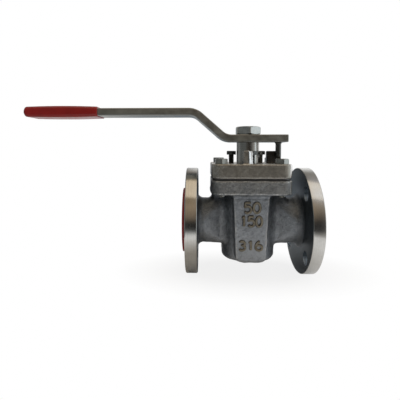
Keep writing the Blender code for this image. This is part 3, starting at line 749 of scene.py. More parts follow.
@dataclass(frozen=True)
class CastSteel(Finish):
    """Blasted casting: grainy, with painted shade in hollows, brighter worn edges and painted highlights.

    Attributes:
        painted_shade: Colour of the painted shade in the hollows.
        rubbed_and_highlight: Colour of the worn edges and of the painted highlights.
        crown: Tint of the metal above the necks.
        grain: Grains to the metre.
        patches: Patches of tone to the metre.
        rubs: Breaks in the worn edges and painted highlights to the metre.
        foot_painted_light: How much paler the foot is than the top, as painted light from below.
        foot_light_span: Heights between which that painted light sets in.
        crown_span: Heights between which the crown's tint sets in.
        hollow_span: Hollow values between which the painted shade sets in.
        painted_shade_share: How far the painted shade hides the metal.
        polish: How much smoother the worn edges and painted highlights are.
    """

    span: Pair = (0.32, 0.76)
    rough_span: Pair = (0.0, 1.0)
    swing: Pair = (-0.08, 0.08)
    strength: float = 0.8
    depth: float = 0.5 * MM
    painted_shade: Triple = (0.05, 0.055, 0.06)
    rubbed_and_highlight: Triple = (0.62, 0.62, 0.6)
    crown: Triple = (1.0, 1.0, 1.0)
    grain: float = 620.0
    patches: float = 55.0
    rubs: float = 420.0
    foot_painted_light: float = 0.0
    foot_light_span: Pair = (20.0 * MM, -50.0 * MM)
    crown_span: Pair = (41.0 * MM, 44.0 * MM)
    hollow_span: Pair = (0.03, 0.55)
    painted_shade_share: float = 0.9
    polish: float = 0.2

    def surface(self, graph: Graph, place: Socket) -> Surface:
        """Adds the finish's own nodes."""
        grain = graph.group(Effects.grain(), Vector=place, Scale=self.grain)
        patches = graph.noise(place, self.patches, 4.0, 0.6)
        tone = graph.blend(grain.outputs["Tone"], 0.55, patches, 0.5)
        height = graph.parts(place)["Z"]
        # Painted light: the casting grows paler toward the foot.
        tone = graph.math("ADD", tone, graph.spread(height, *self.foot_light_span, 0.0, self.foot_painted_light))
        crowned = graph.spread(height, *self.crown_span)
        base = graph.mix(crowned, self.tinted(graph, tone), opaque(self.crown), "MULTIPLY")
        hollow = graph.spread(graph.value("hollow"), *self.hollow_span)
        # Painted shade: the hollow value darkens the metal toward a near-black colour.
        base = graph.mix(graph.math("MULTIPLY", hollow, self.painted_shade_share), base, opaque(self.painted_shade))
        wear = graph.group(Effects.wear(), Vector=place, Edge=graph.value("edge"), Scale=self.rubs)
        # Mask of the worn edges and of the painted highlights raised into the edge value.
        worn = wear.outputs["Mask"]
        base = graph.mix(worn, base, opaque(self.rubbed_and_highlight))
        rough = self.roughened(graph, grain.outputs["Tone"])
        rough = graph.math("SUBTRACT", rough, graph.math("MULTIPLY", worn, self.polish))
        return base, rough, self.bump(graph, grain.outputs["Height"])


@dataclass(frozen=True)
class TurnedSteel(Finish):
    """Machined steel with the rings of the cutting tool.

    Attributes:
        axis: Axis that the piece was turned about.
        pitch: Distance between rings.
        patches: Patches of tone to the metre.
    """

    span: Pair = (0.2, 0.85)
    rough_span: Pair = (0.2, 0.9)
    swing: Pair = (0.06, -0.06)
    strength: float = 0.25
    axis: Axis = Axis.FLOW
    pitch: float = 0.5 * MM
    patches: float = 70.0

    def surface(self, graph: Graph, place: Socket) -> Surface:
        """Adds the finish's own nodes."""
        flow = self.axis is Axis.FLOW
        along = graph.parts(place)["X" if flow else "Z"]
        radius = graph.length(graph.stretched(place, (0.0, 1.0, 1.0) if flow else (1.0, 1.0, 0.0)))
        lines = graph.group(Effects.lines(), Along=along, Radius=radius, Pitch=self.pitch)
        patches = graph.noise(place, self.patches, 4.0, 0.65)
        tone = graph.blend(lines.outputs["Tone"], 0.6, patches, 0.5)
        normal = self.bump(graph, lines.outputs["Height"])
        return self.tinted(graph, tone), self.roughened(graph, tone), normal


@dataclass(frozen=True)
class FlangeSteel(TurnedSteel):
    """A turned rim and face on a flange whose back is left as cast.

    Attributes:
        back: Colour of the back.
        back_shade: How much of it is left in the back's pits.
        back_depth: How far from the middle of the valve the back reaches.
        back_grain: Grains of the back to the metre.
        back_relief: Depth of the back's grain.
        back_strength: Strength of the back's grain.
        back_roughness: Roughness of the back and of the bolt holes.
        drilled_and_glint: Colour of the bolt holes' walls: bright drilled metal tinted with a painted bluish
            glint of the light through them.
        hole_shade: Their colour in the upper half, a painted shade.
        hole_shade_span: How far below a hole's middle the painted shade thins out.
        hole: Radius of the bolt holes and a little more.
    """

    back: Triple = (0.13, 0.145, 0.16)
    back_shade: float = 0.75
    back_depth: float = 71.9 * MM
    back_grain: float = 900.0
    back_relief: float = 0.3 * MM
    back_strength: float = 0.5
    back_roughness: float = 0.5
    drilled_and_glint: Triple = (0.72, 0.8, 0.88)
    hole_shade: Triple = (0.1, 0.12, 0.135)
    hole_shade_span: float = 6.0 * MM
    hole: float = HOLE_RADIUS + 0.06 * MM

    def hole_walls(self, graph: Graph, place: Socket) -> tuple[Socket, Socket]:
        """1 on the walls of the four bolt holes and 0 elsewhere, and how low in its hole a place lies."""
        aside = graph.node("VectorMath", (place,), operation="ABSOLUTE").outputs[0]
        middle = (0.0, HOLE_OFFSET, HOLE_OFFSET)
        offset = graph.node("VectorMath", (aside, middle), operation="SUBTRACT").outputs[0]
        away = graph.length(graph.stretched(offset, (0.0, 1.0, 1.0)))
        sign = graph.math("SIGN", graph.parts(place)["Z"])
        above = graph.math("MULTIPLY", graph.parts(offset)["Z"], sign)
        return graph.math("LESS_THAN", away, self.hole), graph.spread(above, 0.0, -self.hole_shade_span)

    def surface(self, graph: Graph, place: Socket) -> Surface:
        """Adds the turned finish, then the cast one on the back, and a painted glint and painted shade on
        the hole walls.
        """
        turned, turned_rough, turned_normal = super().surface(graph, place)
        out = graph.math("ABSOLUTE", graph.parts(place)["X"])
        cast = graph.math("LESS_THAN", out, self.back_depth)
        grain = graph.group(Effects.grain(), Vector=place, Scale=self.back_grain)
        pits = opaque(tuple(self.back_shade * part for part in self.back))
        back = graph.mix(grain.outputs["Tone"], pits, opaque(self.back))
        holes, low = self.hole_walls(graph, place)
        # Hole walls: painted shade in the upper half, painted bluish glint below.
        wall = graph.mix(low, opaque(self.hole_shade), opaque(self.drilled_and_glint))
        base = graph.mix(holes, graph.mix(cast, turned, back), wall)
        uneven = graph.math("MAXIMUM", cast, holes)
        rough = graph.spread(uneven, 0.0, 1.0, turned_rough, self.back_roughness)
        inputs = {
            "Height": graph.math("MULTIPLY", grain.outputs["Height"], cast),
            "Strength": self.back_strength,
            "Distance": self.back_relief,
            "Normal": turned_normal,
        }
        return base, rough, graph.node("Bump", inputs).outputs[0]


@dataclass(frozen=True)
class BarSteel(Finish):
    """Rolled bar: streaks along it, scattered scuffs and paler edges.

    Attributes:
        worn: Colour of the worn edges.
        worn_share: How far the edges are worn.
        rubs: Breaks in the worn edges to the metre.
        streaks: Scale of the streaks along each axis.
        clouds: Clouds to the metre, with their detail and roughness.
        fine: Fine bumps to the metre.
    """

    swing: Pair = (-0.06, 0.1)
    strength: float = 0.22
    depth: float = 0.08 * MM
    worn: Triple = (0.36, 0.365, 0.345)
    worn_share: float = 0.8
    rubs: float = 300.0
    streaks: Triple = (12.0, 420.0, 420.0)
    clouds: Triple = (90.0, 5.0, 0.6)
    fine: float = 1500.0

    def surface(self, graph: Graph, place: Socket) -> Surface:
        """Adds the finish's own nodes."""
        streak = graph.noise(graph.stretched(place, self.streaks), 1.0, 4.0, 0.65)
        cloud = graph.noise(place, *self.clouds)
        fine = graph.noise(place, self.fine, 2.0)
        base = self.tinted(graph, graph.blend(streak, 0.5, cloud, 0.5))
        edge = graph.math("MULTIPLY", graph.value("edge"), self.worn_share)
        wear = graph.group(Effects.wear(), Vector=place, Edge=edge, Scale=self.rubs)
        base = graph.mix(wear.outputs["Mask"], base, opaque(self.worn))
        normal = self.bump(graph, graph.blend(streak, 0.6, fine, 0.4))
        return base, self.roughened(graph, cloud), normal


@dataclass(frozen=True)
class Clouded(Finish):
    """Smooth surface with soft clouds and a fine skin, as on cold-headed or rolled steel.

    Attributes:
        clouds: Clouds to the metre, with their detail and roughness.
        skin: Bumps of the skin to the metre.
    """

    clouds: Triple = (180.0, 5.0, 0.65)
    skin: float = 2200.0

    def surface(self, graph: Graph, place: Socket) -> Surface:
        """Adds the finish's own nodes."""
        cloud = graph.noise(place, *self.clouds)
        normal = self.bump(graph, graph.noise(place, self.skin, 2.0))
        return self.tinted(graph, cloud), self.roughened(graph, cloud), normal


@dataclass(frozen=True)
class Plastic(Clouded):
    """Moulded plastic: wider and fainter clouds and a coarser skin."""

    span: Pair = (0.3, 0.7)
    swing: Pair = (-0.05, 0.07)
    strength: float = 0.15
    depth: float = 0.06 * MM
    clouds: Triple = (60.0, 4.0, 0.6)
    skin: float = 900.0


CASTING = CastSteel("blasted_cast_steel", (0.46, 0.49, 0.53), (0.215, 0.235, 0.262), 0.5, 0.9,
                    foot_painted_light=0.22, crown=(0.86, 0.82, 0.76))
# The cover's near-white colour serves its worn edges and its painted highlights.
COVER_CASTING = CastSteel("cover_cast_steel", (0.53, 0.505, 0.45), (0.27, 0.257, 0.23), 0.38, 0.9,
                          painted_shade=(0.045, 0.046, 0.05), rubbed_and_highlight=(0.9, 0.9, 0.9), depth=0.12 * MM,
                          span=(0.1, 0.95))
NUMBER_CASTING = CastSteel("number_cast_steel", (0.36, 0.33, 0.265), (0.19, 0.168, 0.13), 0.48, 0.9,
                           painted_shade=(0.04, 0.034, 0.028))
FLANGE_STEEL = FlangeSteel("turned_flange_steel", (0.62, 0.61, 0.58), (0.44, 0.43, 0.41), 0.2, 1.0,
                           back=(0.098, 0.118, 0.134))
STEM_STEEL = TurnedSteel("turned_stem_steel", (0.52, 0.51, 0.48), (0.36, 0.35, 0.33), 0.24, 1.0,
                         axis=Axis.STEM)
LEVER_STEEL = BarSteel("rolled_bar_steel", (0.47, 0.474, 0.43), (0.32, 0.321, 0.29), 0.38, 1.0)
NUT_STEEL = Clouded("headed_nut_steel", (0.64, 0.645, 0.62), (0.46, 0.465, 0.45), 0.3, 1.0)
BOLT_STEEL = Clouded("headed_bolt_steel", (0.46, 0.46, 0.43), (0.32, 0.32, 0.30), 0.3, 1.0)
DARK_BOLT_STEEL = Clouded("dark_screw_steel", (0.18, 0.182, 0.178), (0.1, 0.102, 0.1), 0.36, 1.0)
# Dark sheet steel: painted shade, so that the metal diaphragm's edge stays black in the gap under the cover.
SHADE_SHEET_STEEL = Clouded("shade_dark_sheet_steel", (0.22, 0.22, 0.22), (0.15, 0.15, 0.15), 0.4, 1.0)
SEAL_PLASTIC = Plastic("white_seal_plastic", (0.80, 0.80, 0.77), (0.70, 0.70, 0.66), 0.45, 0.0)
# Near-black seal plastic: painted shade, so that the soft diaphragm's edge stays black in the gap under the
# cover.
SHADE_SEAL_PLASTIC = Plastic("shade_dark_seal_plastic", (0.045, 0.045, 0.047), (0.03, 0.03, 0.032), 0.5, 0.0)
GRIP_PLASTIC = Plastic("dipped_red_plastic", (0.42, 0.014, 0.012), (0.32, 0.011, 0.009), 0.34, 0.0,
                       coat=0.1)
CAP_PLASTIC = Plastic("moulded_red_plastic", (0.42, 0.018, 0.022), (0.32, 0.013, 0.016), 0.42, 0.0)


class Slot(Enum):
    """Material slots that the new pieces stand for."""

    CAST = "cast_steel"
    TURNED = "turned_steel"
    BRIGHT = "bright_steel"
    DULL = "dull_steel"
    GRIP = "grip_red"
    CAP = "cap_red"


VALVE = "valve"
TURNING = "plug_and_lever"


def place_piece(piece: Piece, body: str, slot: Slot, finish: Finish, *nodes: str) -> None:
    """Dresses a new piece and sets it on its body.

    Args:
        piece: The piece.
        body: Body that it moves with.
        slot: Material slot that it stands for; not used.
        finish: Its finish.
        *nodes: Solids that it replaces.
    """
    piece.data.materials.clear()
    piece.data.materials.append(finish.material())
    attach(piece, body)
    if nodes:
        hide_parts(*nodes)
    LOG.info("%s: %d faces", piece.name, len(piece.data.polygons))


def dress_node(node: str, finish: Finish) -> None:
    """Gives a solid that stays as it is a finish."""
    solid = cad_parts[node]
    solid.data.materials.clear()
    solid.data.materials.append(finish.material())
    LOG.info("%s: dressed", node)


# Sub-assemblies


def screw_places() -> list[Pair]:
    """Where the adjuster screws stand round the stem."""
    bearings = np.radians(SCREW_BEARINGS)
    return [(SCREW_CIRCLE * math.cos(bearing), SCREW_CIRCLE * math.sin(bearing)) for bearing in bearings]


def painted_corner_highlight(places: Array) -> Array:
    """Painted highlight on the square castings' right front corner, which faces the light from the right:
    more to the right and the front.
    """
    most, right, front = 0.95, (47.5 * MM, 3.0 * MM), (25.0 * MM, 10.0 * MM)
    return most * rising(places[:, 0], *right) * rising(-places[:, 1], *front)


@dataclass
class Casting:
    """The cast body between the end flanges.

    Attributes:
        foot: Height of the barrel's foot; foot_round, foot_dome, foot_flat and foot_bow shape it.
        barrel: Radius of the barrel at its foot and under the top flange.
        top_low: Underside of the square top flange.
        top_high: Upper side of the square top flange.
        panel_width: Half the width of the panels at the foot and under the top flange.
        panel_offset: How far the panels lie from the stem axis at the same two heights.
        neck_root: Where along the flow a neck starts to turn from flat sided to round.
        neck_hub: Where it is round.
        neck_half: Half its size across the flow and upward at the root.
        web_half: Half the size of the web under the top flange along and across the flow.
        seat: Radius of the tapered seat at its lower and upper end.
        port_half: Half the size of the flow way across the flow and upward at the plug.
        port_blend: Between which places along the flow it blends to the round bore.
        neck_shade_up: Where the painted shade under the top flange starts, over what height it thickens, and
            how far.
        neck_shade_hub: The same along the flow, beside the hubs.
        neck_shade_least: How far painted shade darkens the rest beside the panels.
    """

    foot: float = -51.5 * MM
    foot_round: float = 5.0 * MM
    foot_dome: float = 2.5 * MM
    foot_flat: float = 7.0 * MM
    foot_bow: float = 50.0 * MM
    barrel: Pair = (37.0 * MM, 40.0 * MM)
    top_low: float = 41.7 * MM
    top_high: float = 60.5 * MM
    top_fillet: float = 6.0 * MM
    panel_width: Pair = (20.0 * MM, 24.5 * MM)
    panel_offset: Pair = (41.5 * MM, 44.0 * MM)
    panel_corner: float = 1.8 * MM
    panel_fillet: float = 1.5 * MM
    neck_root: float = 41.0 * MM
    neck_hub: float = 63.4 * MM
    neck_end: float = 82.0 * MM
    neck_half: Pair = (20.5 * MM, 31.0 * MM)
    neck_radius: float = 32.0 * MM
    neck_corner: float = 10.0 * MM
    neck_fillet: float = 5.0 * MM
    web_half: Pair = (51.5 * MM, 17.0 * MM)
    web_corner: float = 5.0 * MM
    web_fillet: float = 6.0 * MM
    hub_fillet: float = 8.0 * MM
    hub_radius: float = 47.0 * MM
    flange_back: float = 71.5 * MM
    tapped_radius: float = 5.3 * MM
    throat: float = 33.4 * MM
    seat: Pair = (27.9 * MM, 33.1 * MM)
    seat_low: float = -44.0 * MM
    seat_high: float = 40.0 * MM
    port_half: Pair = (13.5 * MM, 22.0 * MM)
    port_corner: float = 6.0 * MM
    port_blend: Pair = (33.0 * MM, 66.0 * MM)
    wave_height: float = 0.45 * MM
    wave_length: float = 46.0 * MM
    neck_shade_up: Triple = (8.0 * MM, 24.0 * MM, 0.36)
    neck_shade_hub: Triple = (58.0 * MM, 9.0 * MM, 0.34)
    neck_shade_least: float = 0.07
    cell: float = 1.2 * MM
    hollow_reach: float = 9.0 * MM

    def vessel(self, x: Array, y: Array, z: Array) -> Array:
        """Distance to the tapered barrel with its two flat panels."""
        share = (z - self.foot) / (self.top_low - self.foot)
        radius = np.hypot(x, y)
        wall = radius - between(share, *self.barrel)
        dome = self.foot - self.foot_dome * (1 - (radius / self.barrel[0]) ** 2) - z
        width = between(share, *self.panel_width)
        offset = between(share, *self.panel_offset)
        panels = outline_distance(x, y, width, offset, self.panel_corner)
        past = np.clip(np.abs(x) - self.foot_flat, 0.0, None)
        panels = common(panels, self.foot + past ** 2 / self.foot_bow - z, self.foot_round)
        barrel = common(wall, dome, self.foot_round)
        both = fillet(barrel, panels, self.panel_fillet)
        return np.maximum(both, z - (self.top_low + self.foot_round))

    def necks(self, x: Array, y: Array, z: Array) -> Array:
        """Distance to the necks: round at the hub, flat sided at the barrel, filleted to the flange."""
        out = np.abs(x)
        share = rising(out, self.neck_root, self.neck_hub - self.neck_root)
        root = (*self.neck_half, self.neck_corner)
        neck = outline_distance(y, z, *(between(share, size, self.neck_radius) for size in root))
        disc = np.maximum(self.flange_back - out, np.hypot(y, z) - self.hub_radius)
        return np.maximum(fillet(neck, disc, self.hub_fillet), out - self.neck_end)

    def web(self, x: Array, y: Array, z: Array) -> Array:
        """Distance to the web that joins the necks to the underside of the top flange."""
        flat = outline_distance(x, y, *self.web_half, self.web_corner)
        return np.maximum(flat, np.maximum(-z, z - self.top_low - SQUARE_EDGE))

    def top(self, x: Array, y: Array, z: Array) -> Array:
        """Distance to the square top flange."""
        square = outline_distance(x, y, SQUARE_HALF, SQUARE_HALF, SQUARE_CORNER)
        return slab_distance(square, z, self.top_low, self.top_high, SQUARE_EDGE)

    def hollows(self, x: Array, y: Array, z: Array) -> tuple[Array, ...]:
        """Distances to the seat, its throat, the flow way and the tapped holes."""
        radius = np.hypot(x, y)
        share = (z - self.seat_low) / (self.seat_high - self.seat_low)
        seat = radius - between(share, *self.seat)
        seat = np.maximum(np.maximum(seat, self.seat_low - z), z - self.seat_high)
        throat = np.maximum(radius - self.throat, self.seat_high - z)
        start, end = self.port_blend
        part = rising(np.abs(x), start, end - start)
        port = (*self.port_half, self.port_corner)
        way = outline_distance(y, z, *(between(part, size, BORE) for size in port))
        taps = np.hypot(np.abs(x) - BOLT_OFFSET, np.abs(y) - BOLT_OFFSET) - self.tapped_radius
        return seat, throat, way, taps

    def outside(self, x: Array, y: Array, z: Array) -> Array:
        """Distance to the outer walls, which are uneven except near the turned flanges."""
        solid = fillet(self.vessel(x, y, z), self.necks(x, y, z), self.neck_fillet)
        solid = fillet(solid, self.web(x, y, z), self.web_fillet)
        solid = fillet(solid, self.top(x, y, z), self.top_fillet)
        calm = rising(-np.abs(x), -self.neck_hub, self.hub_fillet)
        return solid + calm * unevenness(x, y, z, self.wave_height, self.wave_length)

    def distance(self, x: Array, y: Array, z: Array) -> Array:
        """Distance to the whole casting."""
        return without(self.outside(x, y, z), *self.hollows(x, y, z))

    def shaded_neck(self, places: Array) -> Array:
        """How far painted shade darkens the casting beside the panels: rising to the top flange and to the
        hubs.
        """
        out = np.abs(places[:, 0])
        beside = (out > self.panel_width[1] + MM) & (places[:, 2] < self.top_low)
        up = self.neck_shade_up[2] * rising(places[:, 2], *self.neck_shade_up[:2])
        hub = self.neck_shade_hub[2] * rising(out, *self.neck_shade_hub[:2])
        return beside * np.maximum(np.maximum(up, hub), self.neck_shade_least)

    def build(self) -> None:
        """Meshes the casting and dresses it."""
        mesher = ImplicitMesher(self.cell, self.hollow_reach)
        side = SQUARE_HALF + MARGIN
        low = (-self.neck_end - MARGIN, -side, self.foot - 2 * MARGIN)
        high = (self.neck_end + MARGIN, side, self.top_high + MARGIN)
        piece = mesher.piece("cast_body", self.distance, self.outside, low, high)
        # Painted shade beside the panels, under the top flange and next to the hubs.
        raise_values(piece, "hollow", self.shaded_neck)
        # Painted highlight on the top flange's right front corner.
        raise_values(piece, "edge", lambda places: painted_corner_highlight(places) * (places[:, 2] > self.top_low))
        place_piece(piece, VALVE, Slot.CAST, CASTING, "valve_body")


@dataclass
class CastNumbers:
    """Raised plain numbers on the front panel, each stroke a ridge along a line.

    Attributes:
        width: Half the width of a stroke at its foot.
        height: How far a stroke stands out.
        top_share: Width of its flat top, as a share of its foot.
        edge: Radius of its edges.
        step: Longest step along a stroke.
        digit_share: Width of a digit, as a share of the distance to the next one.
        stroke_shade_fall: How fast the painted shade at a stroke's foot thins out up its height.
        rows: Digits, left edge, right edge, lower edge and upper edge of each row.
    """

    width: float = 1.85 * MM
    height: float = 2.0 * MM
    top_share: float = 0.68
    edge: float = 0.35 * MM
    step: float = 0.5 * MM
    digit_share: float = 0.76
    stroke_shade_fall: float = 1.3
    rows: tuple[tuple[str, float, float, float, float], ...] = (
        ("50", -9.0 * MM, 11.5 * MM, 17.5 * MM, 31.0 * MM),
        ("150", -14.0 * MM, 14.0 * MM, -0.6 * MM, 12.4 * MM),
        ("316", -16.0 * MM, 14.5 * MM, -33.0 * MM, -21.0 * MM),
    )

    @staticmethod
    def arc(middle: Pair, size: Pair, start: float, end: float) -> Array:
        """Points of an ellipse between two angles in degrees, in the digit's unit square."""
        angles = np.radians(np.linspace(start, end, 28))
        return np.asarray(middle) + np.asarray(size) * np.stack([np.cos(angles), np.sin(angles)], axis=1)

    def strokes(self, digit: str) -> list[Array]:
        """Lines of a digit in a unit square."""
        if digit == "0":
            return [self.arc((0.5, 0.5), (0.5, 0.5), 90, 450)]
        if digit == "1":
            return [np.array([(0.22, 0.8), (0.55, 1.0), (0.55, 0.0)])]
        if digit == "3":
            upper = self.arc((0.45, 0.76), (0.45, 0.24), 150, -90)
            lower = self.arc((0.45, 0.27), (0.5, 0.27), 90, -150)
            return [np.concatenate([upper, lower[1:]])]
        if digit == "5":
            start = np.array([(0.95, 1.0), (0.12, 1.0), (0.06, 0.55)])
            return [np.concatenate([start, self.arc((0.45, 0.33), (0.53, 0.33), 130, -150)])]
        if digit == "6":
            tail = self.arc((0.75, 0.42), (0.75, 0.58), 95, 185)
            return [np.concatenate([tail, self.arc((0.5, 0.3), (0.5, 0.3), 170, -195)])]
        raise ValueError(digit)

    def panel_y(self, z: Array) -> Array:
        """Where the leaning front panel of the casting is at a height."""
        share = (z - Casting.foot) / (Casting.top_low - Casting.foot)
        return -between(share, *Casting.panel_offset)

    def section(self) -> tuple[Array, Array]:
        """A stroke's section: a flat-topped ridge with leaning sides, as offsets across and heights."""
        top = self.width * self.top_share
        corners = [(self.width, -self.height), (self.width, 0.0), (top, self.height), (-top, self.height)]
        corners += [(-self.width, 0.0), (-self.width, -self.height)]
        outline = rounded(corners, self.edge, 3, closed=True)
        return outline[:, 0], outline[:, 1]

    def ridge(self, name: str, line: Array) -> Piece:
        """Carries the section along a line on the panel; open lines shrink to a blunt end.

        Args:
            name: Name of the piece.
            line: Points (x, z) on the panel.

        Returns:
            The piece.
        """
        looped = bool(np.allclose(line[0], line[-1]))
        line = flood(line, self.step)
        if looped:
            line = line[:-1]
            ahead = unit(np.roll(line, -1, axis=0) - np.roll(line, 1, axis=0))
            ends = np.ones(len(line))
        else:
            ahead = unit(np.gradient(line, axis=0))
            blunt, least = 24, 0.02
            ends = np.sqrt(np.clip(1 - np.linspace(-1, 1, len(line)) ** blunt, least, 1))
        across = np.stack([-ahead[:, 1], ahead[:, 0]], axis=1)
        beside, rise = (ends[:, None] * values for values in self.section())
        x = line[:, :1] + across[:, :1] * beside
        z = line[:, 1:] + across[:, 1:] * beside
        piece = skin(name, np.stack([x, self.panel_y(z) - rise, z], axis=-1), looped)
        # Painted shade round the foot of each stroke, fading up its height.
        share = (rise / self.height).ravel()
        set_values(piece, "hollow", np.clip(1.0 - self.stroke_shade_fall * share, 0, 1))
        return piece

    def build(self) -> None:
        """Makes each stroke of each row and dresses it."""
        for row, (digits, left, right, low, high) in enumerate(self.rows, 1):
            pitch = (right - left) / (len(digits) - 1 + self.digit_share)
            for column, digit in enumerate(digits, 1):
                size = np.array([pitch * self.digit_share, high - low])
                corner = np.array([left + (column - 1) * pitch, low])
                for line in self.strokes(digit):
                    piece = self.ridge(f"cast_number_{row}_{column}", corner + line * size)
                    place_piece(piece, VALVE, Slot.CAST, NUMBER_CASTING)


@dataclass
class EndFlange:
    """An end flange with its turned rim, raised face and bolt holes.

    Attributes:
        name: Name of the end.
        side: Direction along the flow.
        face: Distance of the raised face from the stem axis.
        front: The same for the ring round it.
        back: The same for the back.
        radius: Radius of the rim.
        raised: Radius of the raised face.
        around: Points round the rim.
        hole_around: Points round a bolt hole.
    """

    name: str
    side: int
    face: float = 89.0 * MM
    front: float = 87.4 * MM
    back: float = 71.4 * MM
    radius: float = 75.0 * MM
    chamfer: float = 0.9 * MM
    edge: float = 0.35 * MM
    raised: float = 46.0 * MM
    around: int = 192
    hole_around: int = 48

    def build(self) -> None:
        """Turns the flange, drills it and dresses it."""
        corners = [
            (BORE, self.back),
            (self.radius - self.chamfer, self.back),
            (self.radius, self.back + self.chamfer),
            (self.radius, self.front - self.chamfer),
            (self.radius - self.chamfer, self.front),
            (self.raised, self.front),
            (self.raised, self.face),
            (BORE, self.face),
        ]
        profile = rounded(corners, self.edge, 3, closed=True) * (1, self.side)
        rings = turned_rings(profile, Axis.FLOW, self.around)
        flange = skin(f"turned_{self.name}_flange", rings, looped=True)
        ends = np.array([(HOLE_RADIUS, self.side * end) for end in (self.back - MARGIN, self.face + MARGIN)])
        cutters = []
        for y, z in ((-1, -1), (-1, 1), (1, -1), (1, 1)):
            middle = (0.0, y * HOLE_OFFSET, z * HOLE_OFFSET)
            rings = turned_rings(ends, Axis.FLOW, self.hole_around, middle)
            cutters.append(skin(f"drill_{y}_{z}", rings))
        carved(flange, *cutters)
        place_piece(flange, VALVE, Slot.TURNED, FLANGE_STEEL, f"{self.name}_flange")


@dataclass
class Cover:
    """The square cover with its stop lugs.

    Attributes:
        low: Height of its underside.
        high: Height of its upper side.
        lugs: Middle x, middle y, half x and half y of the front and the rear lug.
        toe: The same for the front lug's toe.
        toe_start: Where the toe's slanted side starts.
        toe_end: How far right the rubbing and the painted highlight on that side go.
        toe_slant: How far that side is turned from the front.
        top_sheen: How far the upper side is lightened as a painted sheen.
        left_highlight: Where the painted highlight at the left corner starts, over what length it thickens,
            and how far.
    """

    low: float = 63.4 * MM
    high: float = 82.1 * MM
    lugs: tuple[Block, ...] = (
        (-8.2 * MM, -44.0 * MM, 3.5 * MM, 8.2 * MM),
        (38.4 * MM, 10.0 * MM, 10.1 * MM, 5.4 * MM),
    )
    toe: Block = (-5.35 * MM, -50.3 * MM, 5.85 * MM, 2.1 * MM)
    toe_start: Pair = (-6.0 * MM, -52.4 * MM)
    toe_end: float = 2.0 * MM
    toe_slant: float = math.radians(27.0)
    toe_edge: float = 0.5 * MM
    lug_high: float = 99.3 * MM
    lug_round: float = 1.6 * MM
    lug_draft: float = 0.022
    lug_fillet: float = 1.6 * MM
    pocket: float = 33.0 * MM
    pocket_depth: float = 9.6 * MM
    stem_hole: float = 16.6 * MM
    bolt_hole: float = 5.8 * MM
    screw_hole: float = 4.3 * MM
    wave_height: float = 0.18 * MM
    wave_length: float = 38.0 * MM
    top_sheen: float = 0.22
    left_highlight: Triple = (33.0 * MM, 4.0 * MM, 0.24)
    cell: float = 0.85 * MM
    hollow_reach: float = 6.0 * MM

    def lug(self, x: Array, y: Array, z: Array, block: Block) -> Array:
        """Distance to a lug with drafted sides and a rounded top."""
        middle_x, middle_y, half_x, half_y = block
        lean = self.lug_draft * (self.lug_high - z)
        flat = outline_distance(x - middle_x, y - middle_y, half_x, half_y, self.lug_round) - lean
        return slab_distance(flat, z, self.high - 2 * self.lug_round, self.lug_high, self.lug_round)

    def outside(self, x: Array, y: Array, z: Array) -> Array:
        """Distance to the outer walls: a square slab with the lugs, whose toe is ground off at a slant."""
        square = outline_distance(x, y, SQUARE_HALF, SQUARE_HALF, SQUARE_CORNER)
        solid = slab_distance(square, z, self.low, self.high, SQUARE_EDGE)
        lean = math.sin(self.toe_slant), -math.cos(self.toe_slant)
        slant = (x - self.toe_start[0]) * lean[0] + (y - self.toe_start[1]) * lean[1]
        toe = common(self.lug(x, y, z, self.toe), slant, self.toe_edge)
        for lug in (*(self.lug(x, y, z, block) for block in self.lugs), toe):
            solid = fillet(solid, np.maximum(lug, square + SQUARE_EDGE), self.lug_fillet)
        return solid + unevenness(x, y, z, self.wave_height, self.wave_length)

    def distance(self, x: Array, y: Array, z: Array) -> Array:
        """Distance to the whole cover."""
        radius = np.hypot(x, y)
        pocket = np.maximum(radius - self.pocket, z - (self.low + self.pocket_depth))
        bolts = np.hypot(np.abs(x) - BOLT_OFFSET, np.abs(y) - BOLT_OFFSET) - self.bolt_hole
        screws = [np.hypot(x - right, y - back) - self.screw_hole for right, back in screw_places()]
        return without(self.outside(x, y, z), pocket, radius - self.stem_hole, bolts, *screws)

    def shaded_rear_lug(self, places: Array) -> Array:
        """1 on the rear lug, which is darkened with painted shade of the lever and pin, and 0 elsewhere."""
        middle_x, middle_y, half_x, half_y = self.lugs[-1]
        beside = np.abs(places[:, 0] - middle_x) < half_x + MM
        beside &= np.abs(places[:, 1] - middle_y) < half_y + MM
        return beside & (places[:, 2] > self.high + MM)

    def rubbed_and_lit_toe(self, places: Array) -> Array:
        """1 on the slanted side of the front lug's toe, rubbed by the stop pin and whitened further as a
        painted highlight, and 0 elsewhere.
        """
        x, y, z = places.T
        along = (x > self.toe_start[0]) & (x < self.toe_end)
        return along & (y < self.toe[1]) & (z > self.high + MM)

    def painted_sheen(self, places: Array) -> Array:
        """Painted sheen on top and a painted highlight at the left front corner."""
        x, y, z = places.T
        on_top = self.top_sheen * (z > self.high - 0.6 * MM) * (z < self.high + MM)
        left = self.left_highlight[2] * rising(-x, *self.left_highlight[:2]) * (y < 0.0)
        return np.maximum(on_top, left)

    def build(self) -> None:
        """Meshes the cover and dresses it."""
        side = SQUARE_HALF + MARGIN
        mesher = ImplicitMesher(self.cell, self.hollow_reach)
        low = (-side, -side, self.low - MARGIN)
        high = (side, side, self.lug_high + MARGIN)
        piece = mesher.piece("cast_cover", self.distance, self.outside, low, high)
        # Painted shade over the whole rear lug.
        raise_values(piece, "hollow", self.shaded_rear_lug)
        # Rubbed toe, whitened further as a painted highlight.
        raise_values(piece, "edge", self.rubbed_and_lit_toe)
        # Painted highlight on the cover's right front corner.
        raise_values(piece, "edge", painted_corner_highlight)
        # Painted sheen on the cover's top and a painted highlight at its left front corner.
        raise_values(piece, "edge", self.painted_sheen)
        place_piece(piece, VALVE, Slot.CAST, COVER_CASTING, "top_cover")


